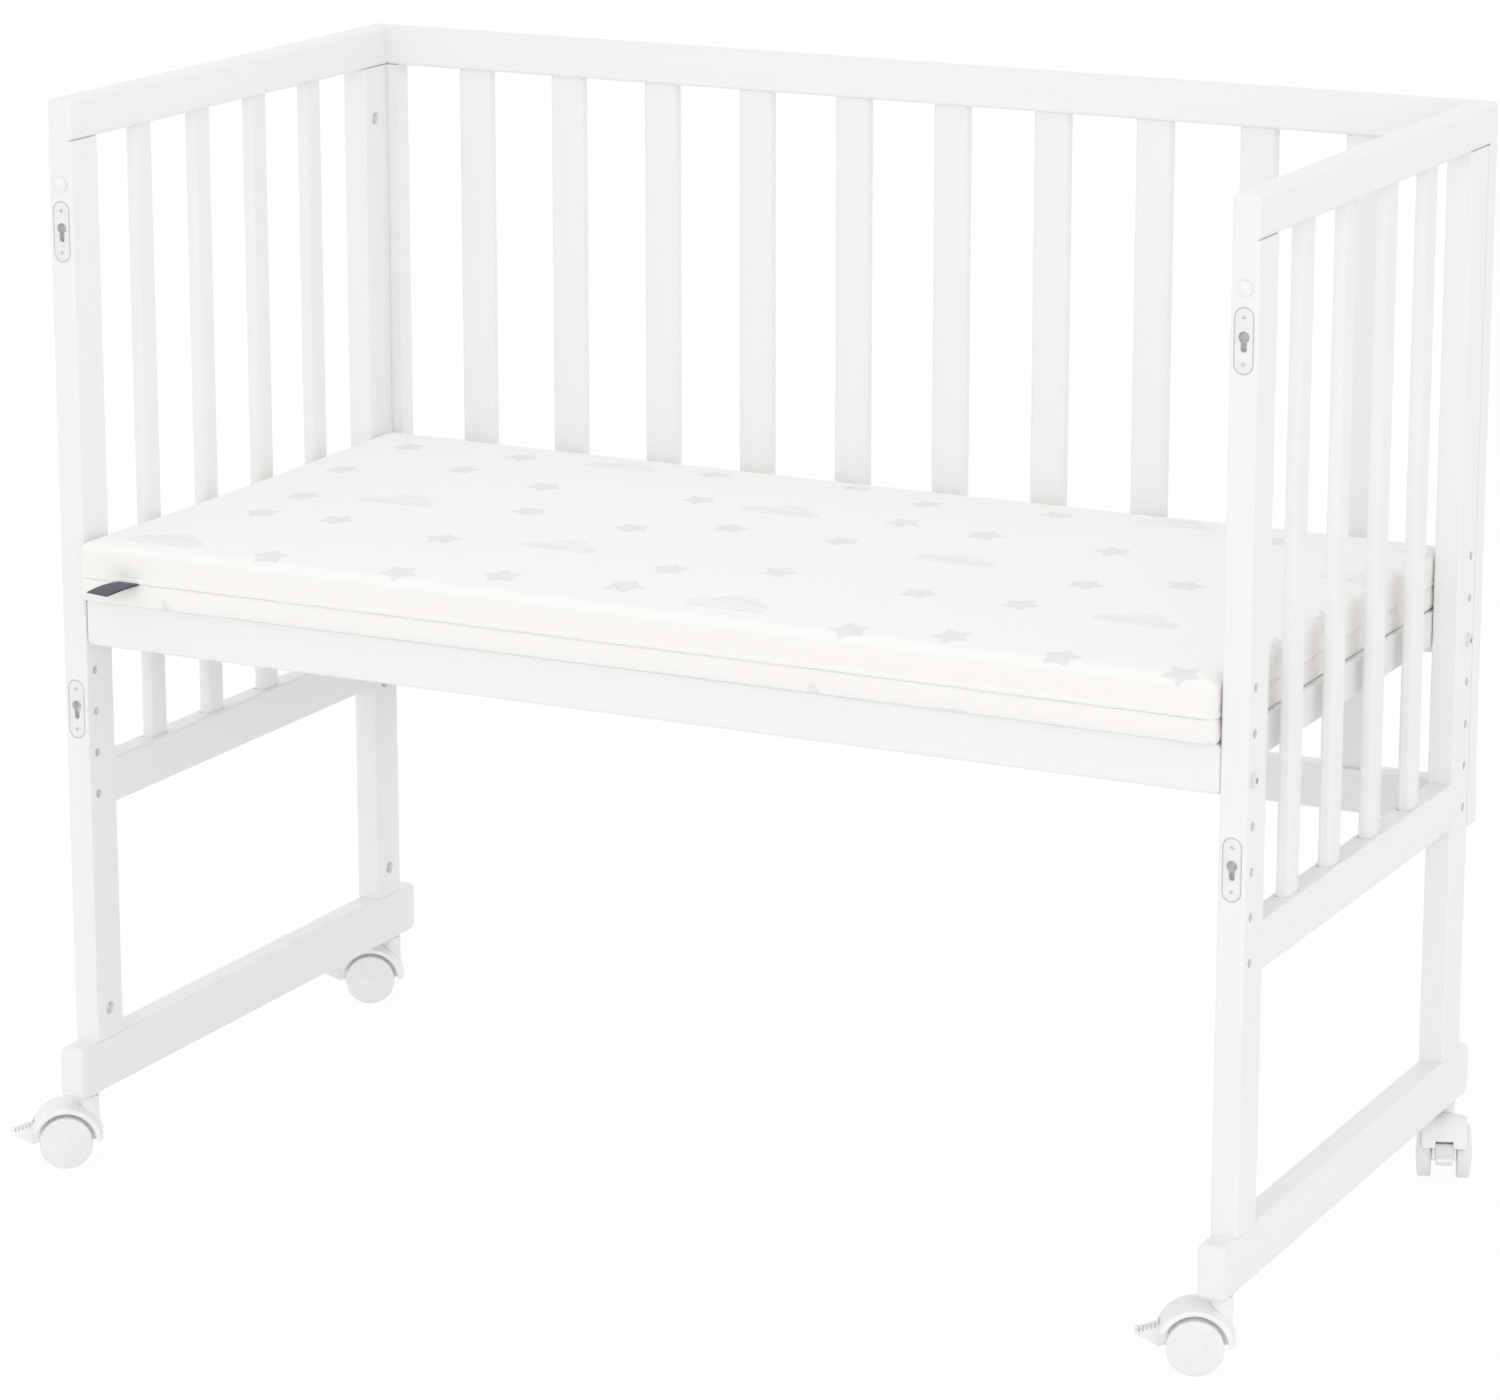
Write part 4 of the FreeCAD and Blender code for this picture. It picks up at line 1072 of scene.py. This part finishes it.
@dataclass
class Mattress:
    """The mattress: a padded block in a zipped knitted cover, with its seam and label."""

    cover: Material
    thread: Material
    label: Material
    zipper: Material
    start_inset: float = 1.4 * MM
    swell_cap: float = 1.9 * MM
    last_frame: int = 20
    ripple: float = 0.5 * MM
    skin: float = 0.2 * MM
    pull_width: float = 9.0 * MM
    soft: Wave = Wave((9.0, 9.0, 16.0))
    tight: Wave = Wave((34.0, 34.0, 20.0), (5.0, 0.0, 0.0))
    pucker: Wave = Wave((95.0, 95.0, 0.0), (0.0, 0.0, 3.0))
    room_margin: float = 0.15 * MM
    settled: float = 4.0 * MM
    front_lean: float = 1.5 * MM
    lean_height: float = 15.0 * MM
    lean_width: float = 30.0 * MM
    # the folded seam's section, outwards and upwards from the seam, and how it wanders
    fold: tuple[tuple[float, float], ...] = (
        (-2.0, 3.2), (-0.4, 3.6), (0.15, 2.6), (0.45, 1.4), (0.5, 0.4), (0.3, -0.15),
        (-0.1, -0.25), (-0.5, 0.05), (-2.0, 0.4))
    fold_wave: Wave = Wave((22.0, 22.0, 0.0), (0.0, 0.0, 1.0))
    fold_sway: float = 0.4 * MM
    shape: MattressShape = field(init=False)

    def __post_init__(self) -> None:
        """Reads the room that the CAD solid takes."""
        self.shape = MattressShape(*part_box("mattress"))

    def build(self) -> None:
        """Builds every piece of the mattress."""
        shape = self.shape
        self._pad()
        self._welt()
        STITCHES.build(shape, self.thread)
        ZIP.build(shape, self.zipper)
        Label().build(shape.low + Vector((0.0, 0.0, shape.seam_height)), self.label)

    def _pad(self) -> None:
        """The stuffed cover, with its ripples and its seam drawn in."""
        shape = self.shape
        squeeze = 1.0 - self.start_inset / (shape.high.z - shape.low.z)
        profile = shape.profile()
        points: list[Vector] = []
        rings: list[list[int]] = []
        for inset, height, _ in profile:
            ring = shape.ring(inset + self.start_inset, height * squeeze)
            rings.append(list(range(len(points), len(points) + len(ring))))
            points += ring
        faces = [face for low, high in zip(rings, rings[1:]) for face in band(low, high)]
        self._close_cap(points, faces, rings[-1], shape.crown, True)
        self._close_cap(points, faces, rings[0], 0.0, False)
        piece = mesh_piece("mattress_pad", points, faces, self.cover)
        self._inflate(piece)
        self._finish_pad(piece, {index: share for ring, (_, _, share) in zip(rings, profile)
                                 if share for index in ring})
        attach(piece, Body.MATTRESS.value)
        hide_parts("mattress")
        LOG.info("%s: %d faces", piece.name, len(piece.data.polygons))

    def _close_cap(self, points: list[Vector], faces: list[tuple[int, ...]], ring: list[int],
                   crown: float, top: bool) -> None:
        """Fills a ring with a grid of faces.

        Args:
            points: All points, which get the grid's inner ones.
            faces: All faces, which get the grid's.
            ring: The ring's point numbers.
            crown: The rise of the middle.
            top: Whether the faces look up.
        """
        columns, rows = self.shape.columns, self.shape.rows
        border = [(i, 0) for i in range(columns)] + [(columns, j) for j in range(rows)]
        border += [(columns - i, rows) for i in range(columns)]
        border += [(0, rows - j) for j in range(rows)]
        inner = [(i, j) for j in range(1, rows) for i in range(1, columns)]
        index = dict(zip(border + inner, ring + list(range(len(points), len(points) + len(inner)))))
        points += self.shape.cap([points[i] for i in ring], crown)
        for j in range(rows):
            for i in range(columns):
                quad = (index[i, j], index[i + 1, j], index[i + 1, j + 1], index[i, j + 1])
                faces.append(quad if top else quad[::-1])

    def _inflate(self, piece: Object) -> None:
        """Swells the cover by a short cloth simulation and caps how far each point moves.

        Args:
            piece: The pad.
        """
        start = [vertex.co.copy() for vertex in piece.data.vertices]
        settings = piece.modifiers.new("fill", "CLOTH").settings
        for key, value in CLOTH.items():
            setattr(settings, key, value)
        settings.effector_weights.gravity = 0.0
        for frame in range(1, self.last_frame + 1):
            bpy.context.scene.frame_set(frame)
        graph = bpy.context.evaluated_depsgraph_get()
        swollen = [vertex.co.copy() for vertex in piece.evaluated_get(graph).data.vertices]
        piece.modifiers.clear()
        bpy.context.scene.frame_set(1)
        for vertex, before, after in zip(piece.data.vertices, start, swollen):
            move = after - before
            if move.length > self.swell_cap:
                move *= self.swell_cap / move.length
            vertex.co = before + move

    def _finish_pad(self, piece: Object, sunk: dict[int, float]) -> None:
        """Adds ripples and the seam, keeps the pad in its room, and gives it its cover map.

        Args:
            piece: The pad.
            sunk: The points at the seam, each with its share of the seam's depth.
        """
        shape, mesh = self.shape, piece.data
        mesh.update()
        normals = [vertex.normal.copy() for vertex in mesh.vertices]
        seam = shape.low.z + shape.seam_height
        for vertex, normal in zip(mesh.vertices, normals):
            co, side, lift = vertex.co, 1.0 - abs(normal.z), 0.0
            if normal.z >= -0.7:
                pull = math.exp(-((co.z - seam) / self.pull_width) ** 2) * side
                lift = self.ripple * (self.soft.at(co) * (0.6 + 0.9 * side)
                                      + 0.35 * self.tight.at(co) * side
                                      + 0.8 * self.pucker.at(co) * pull)
            vertex.co = co + normal * (lift - self.skin)
        for index, share in sunk.items():
            flat = Vector((normals[index].x, normals[index].y, 0.0)).normalized()
            mesh.vertices[index].co -= flat * shape.seam_depth * share
        self._fill_room(mesh)
        self._settle(mesh)
        self._cover_map(mesh)
        mesh.shade_smooth()
        refine(piece)

    def _fill_room(self, mesh: Mesh) -> None:
        """Stretches the pad a little along each axis, so that it just fills its solid's room.

        Args:
            mesh: The pad's mesh.
        """
        for axis in range(3):
            values = [vertex.co[axis] for vertex in mesh.vertices]
            first, last = min(values), max(values)
            start = self.shape.low[axis] + self.room_margin
            end = self.shape.high[axis] - self.room_margin
            scale = (end - start) / (last - first)
            for vertex, value in zip(mesh.vertices, values):
                vertex.co[axis] = start + (value - first) * scale

    def _settle(self, mesh: Mesh) -> None:
        """Presses the underside flat on the slats, and draws the front's foot to its rail.

        Args:
            mesh: The pad's mesh.
        """
        low = self.shape.low
        for vertex in mesh.vertices:
            height = vertex.co.z - low.z - self.room_margin
            if height < self.settled:
                vertex.co.z = low.z + self.room_margin + height ** 3 / self.settled ** 2
            up = max(0.0, 1.0 - (vertex.co.z - low.z) / self.lean_height)
            near = max(0.0, 1.0 - (vertex.co.y - low.y) / self.lean_width)
            vertex.co.y += self.front_lean * up * up * near

    def _cover_map(self, mesh: Mesh) -> None:
        """Lays the knit's own coordinates on a piece: flat on top, folded down over the sides.

        Args:
            mesh: The piece's mesh.
        """
        layer = mesh.uv_layers.new(name=JacquardKnit.uv_map)
        middle, reach = self.shape.middle, (self.shape.high - self.shape.low) / 2
        edge = self.shape.low.z + self.shape.edge_height - 2.0 * MM
        for face in mesh.polygons:
            below, off = face.normal.z < -0.9, face.center - middle
            axis = 0 if reach.x - abs(off.x) < reach.y - abs(off.y) else 1
            for loop in face.loop_indices:
                uv = mesh.vertices[mesh.loops[loop].vertex_index].co.copy()
                if not below:
                    down = max(0.0, edge - uv.z)
                    uv[axis] += math.copysign(down, uv[axis] - middle[axis])
                layer.data[loop].uv = (uv.x + 2.0, uv.y + 2.0)

    def _welt(self) -> None:
        """The folded edge of the cover that hides the zip, all the way round."""
        shape, points = self.shape, []
        for out, up in self.fold:
            points += shape.ring(shape.seam_inset - out * MM, shape.seam_height + up * MM)
        points = [point + Vector((0, 0, self.fold_sway * self.fold_wave.at(point)))
                  for point in points]
        count = len(points) // len(self.fold)
        rings = [list(range(start, start + count)) for start in range(0, len(points), count)]
        rings.append(rings[0])
        faces = [face for low, high in zip(rings, rings[1:]) for face in band(low, high)]
        piece = mesh_piece("mattress_welt", points, faces, self.cover)
        edit = bmesh.new()
        edit.from_mesh(piece.data)
        bmesh.ops.remove_doubles(edit, verts=edit.verts, dist=MERGE_DISTANCE)
        bmesh.ops.recalc_face_normals(edit, faces=edit.faces)
        edit.to_mesh(piece.data)
        edit.free()
        self._cover_map(piece.data)
        soften(piece.data, 60.0)
        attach(piece, Body.MATTRESS.value)


# ---- the frame, fittings and casters
@dataclass
class CarriedNodes:
    """The CAD nodes that stay, each with its finish."""

    lacquer: dict[Axis, Material]
    finishes: dict[str, Material]

    def rules(self) -> tuple[tuple[str, Material], ...]:
        """The finish of each kind of node, by a pattern in its name, first match first."""
        cad = self.finishes
        return (
            ("^panel_dowels$", cad["beech"]),
            ("^(keyhole_plates|plate_screws)$", cad["plate"]),
            ("^gate_buttons$", cad["button"]),
            ("_(bolts|nuts|stem|axle)$", cad["steel"]),
            ("_wheel_", cad["wheel"]),
            ("_caster_", cad["hood"]),
            ("_(post|stile)$", self.lacquer[Axis.Z]),
            ("^base_(left|right)_rail$", self.lacquer[Axis.Y]),
            ("^(back|base)_", self.lacquer[Axis.X]),
            ("", self.lacquer[Axis.Y]),
        )

    def dress(self, nodes: dict[str, Object]) -> None:
        """Gives each shown node its finish.

        Args:
            nodes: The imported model's nodes by name.
        """
        rules = self.rules()
        for name, piece in sorted(nodes.items()):
            material = next(finish for pattern, finish in rules if re.search(pattern, name))
            piece.data.materials.clear()
            piece.data.materials.append(material)
            LOG.info("%s: %s", name, material.name)


# ---- stage, light and camera
@dataclass
class Studio:
    """The pale floor and room, the soft lamp and the camera."""

    location: Point = (1.7151, -3.4118, 1.3783)
    yaw: float = 0.4689
    pitch: float = 0.2425
    lens: float = 127.35
    sensor: float = 36.0
    rise: float = -0.06
    room_light: float = 1.06
    overhead_light: float = 0.92
    floor_size: float = 40.0
    floor_colour: Colour = (0.90, 0.90, 0.90)
    floor_glow: float = 0.93
    lamp_place: Point = (2.2, -5.2, 1.9)
    lamp_aim: Point = (0.0, 0.0, 0.4)
    lamp_size: float = 3.0
    lamp_power: float = 36.0

    def build(self) -> None:
        """Builds the stage."""
        self._room()
        self._floor()
        self._lamp()
        self._camera()

    @staticmethod
    def _seen(tree: Tree) -> Socket:
        """Tells what is looked at from what is lit.

        Args:
            tree: The tree of a material or of the world.

        Returns:
            1 for rays from the camera, and for those that show the room in gloss or glass.
        """
        path = tree.node("ShaderNodeLightPath")
        total = path.outputs["Is Camera Ray"]
        for name in ("Is Glossy Ray", "Is Transmission Ray"):
            total = tree.get("ShaderNodeMath", {0: total, 1: path.outputs[name]},
                             operation="MAXIMUM")
        return total

    def _room(self) -> None:
        """A white room that lights the crib from all sides, a little less from straight above."""
        world = bpy.data.worlds.new("room")
        bpy.context.scene.world = world
        world.use_nodes = True
        tree = Tree(world.node_tree)
        way = tree.get("ShaderNodeTexCoord", out="Generated")
        power = tree.get("ShaderNodeMapRange", {
            "Value": tree.get("ShaderNodeSeparateXYZ", {0: way}, "Z"),
            "To Min": self.room_light, "To Max": self.overhead_light})
        lit, shown = (tree.get("ShaderNodeBackground", {"Color": WHITE, "Strength": strength})
                      for strength in (power, 1.0))
        mix = tree.get("ShaderNodeMixShader", {0: self._seen(tree), 1: lit, 2: shown})
        tree.node("ShaderNodeOutputWorld", {"Surface": mix})

    def _floor(self) -> None:
        """A wide pale floor that keeps a soft shadow."""
        shade = Shade("pale_floor")
        mottled = shade.speckle(shade.point, 3.0)
        dimmed = shade_of(self.floor_colour, 0.985)
        shade.put(Base_Color=shade.blend(mottled, self.floor_colour, dimmed), Roughness=0.9)
        glow = shade.get("ShaderNodeEmission", {"Color": WHITE, "Strength": 1.0})
        share = shade.math("MULTIPLY", self._seen(shade), self.floor_glow)
        mix = shade.get("ShaderNodeMixShader", {
            0: share, 1: shade.shader.outputs["BSDF"], 2: glow})
        shade.feed(shade.output.inputs["Surface"], mix)
        corners = [Vector((x, y, 0.0)) * self.floor_size
                   for x, y in ((-1, -1), (1, -1), (1, 1), (-1, 1))]
        floor = mesh_piece("floor", corners, [(0, 1, 2, 3)], shade.material)

    @staticmethod
    def _stand(name: str, data: bpy.types.ID, place: Point, turn: Euler) -> Object:
        """Puts a lamp or a camera in its place.

        Args:
            name: Its name.
            data: The lamp or camera itself.
            place: Where it stands.
            turn: How it is turned.

        Returns:
            Its object.
        """
        item = bpy.data.objects.new(name, data)
        bpy.context.scene.collection.objects.link(item)
        item.location, item.rotation_euler = place, turn
        return item

    def _lamp(self) -> None:
        """A broad weak lamp from the front right, which sets the faces on that side apart."""
        data = bpy.data.lights.new("key", "AREA")
        data.shape, data.size, data.energy = "DISK", self.lamp_size, self.lamp_power
        aim = Vector(self.lamp_aim) - Vector(self.lamp_place)
        self._stand("key", data, self.lamp_place, aim.to_track_quat("-Z", "Y").to_euler())

    def _camera(self) -> None:
        """The camera at the photograph's angle."""
        data = bpy.data.cameras.new("camera")
        data.sensor_width, data.lens, data.shift_y = self.sensor, self.lens, self.rise
        turn = Euler((math.pi / 2 - self.pitch, 0.0, self.yaw))
        bpy.context.scene.camera = self._stand("camera", data, self.location, turn)


def main() -> None:
    """Builds the crib and its stage in order."""
    logging.basicConfig(level=logging.INFO, format="%(name)s %(message)s")
    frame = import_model()

    lacquer = {axis: LacqueredWood(f"lacquer_grain_{axis.name.lower()}", axis).material()
               for axis in Axis}
    slats = {axis: LacqueredWood(f"slat_lacquer_{axis.name.lower()}", axis, "tone").material()
             for axis in (Axis.Y, Axis.Z)}
    white, wheel, nylon = (0.90, 0.90, 0.90), (0.865, 0.865, 0.86), (0.86, 0.86, 0.84)
    finishes = {
        "beech": BareBeech().material(),
        "plate": PowderCoat(*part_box("keyhole_plates")).material(),
        "steel": PlatedSteel().material(),
        "button": MouldedPlastic("gate_button_plastic", white, 0.4, side_shade=0.6).material(),
        "hood": MouldedPlastic("caster_hood_plastic", (0.90, 0.90, 0.895), 0.42).material(),
        "wheel": MouldedPlastic("caster_wheel_plastic", wheel, 0.38, scuffs=0.3).material(),
    }
    CarriedNodes(lacquer, finishes).dress(frame["nodes"])

    SlatRow("back_slats", 10, Axis.Z, Axis.X, 29.0 * MM, slats[Axis.Z]).build()
    for node in ("left_slats", "right_slats"):
        SlatRow(node, 4, Axis.Z, Axis.Y, 22.0 * MM, slats[Axis.Z]).build()
    SlatRow("base_slats", 9, Axis.Y, Axis.X, 52.0 * MM, slats[Axis.Y], 2.0 * MM).build()

    Mattress(
        cover=JacquardKnit().material(),
        thread=WovenTape("cover_binding", (0.90, 0.885, 0.85)).material(),
        label=WovenTape("label_cloth", (0.085, 0.095, 0.125), 0.35 * MM, 0.55, 0.1).material(),
        zipper=MouldedPlastic("zip_nylon", nylon, 0.4).material(),
    ).build()
    Studio().build()

    scene = bpy.context.scene
    scene.view_settings.view_transform = "Standard"
    scene.cycles.diffuse_bounces = WHITE_BOUNCES


if __name__ == "__main__":
    main()
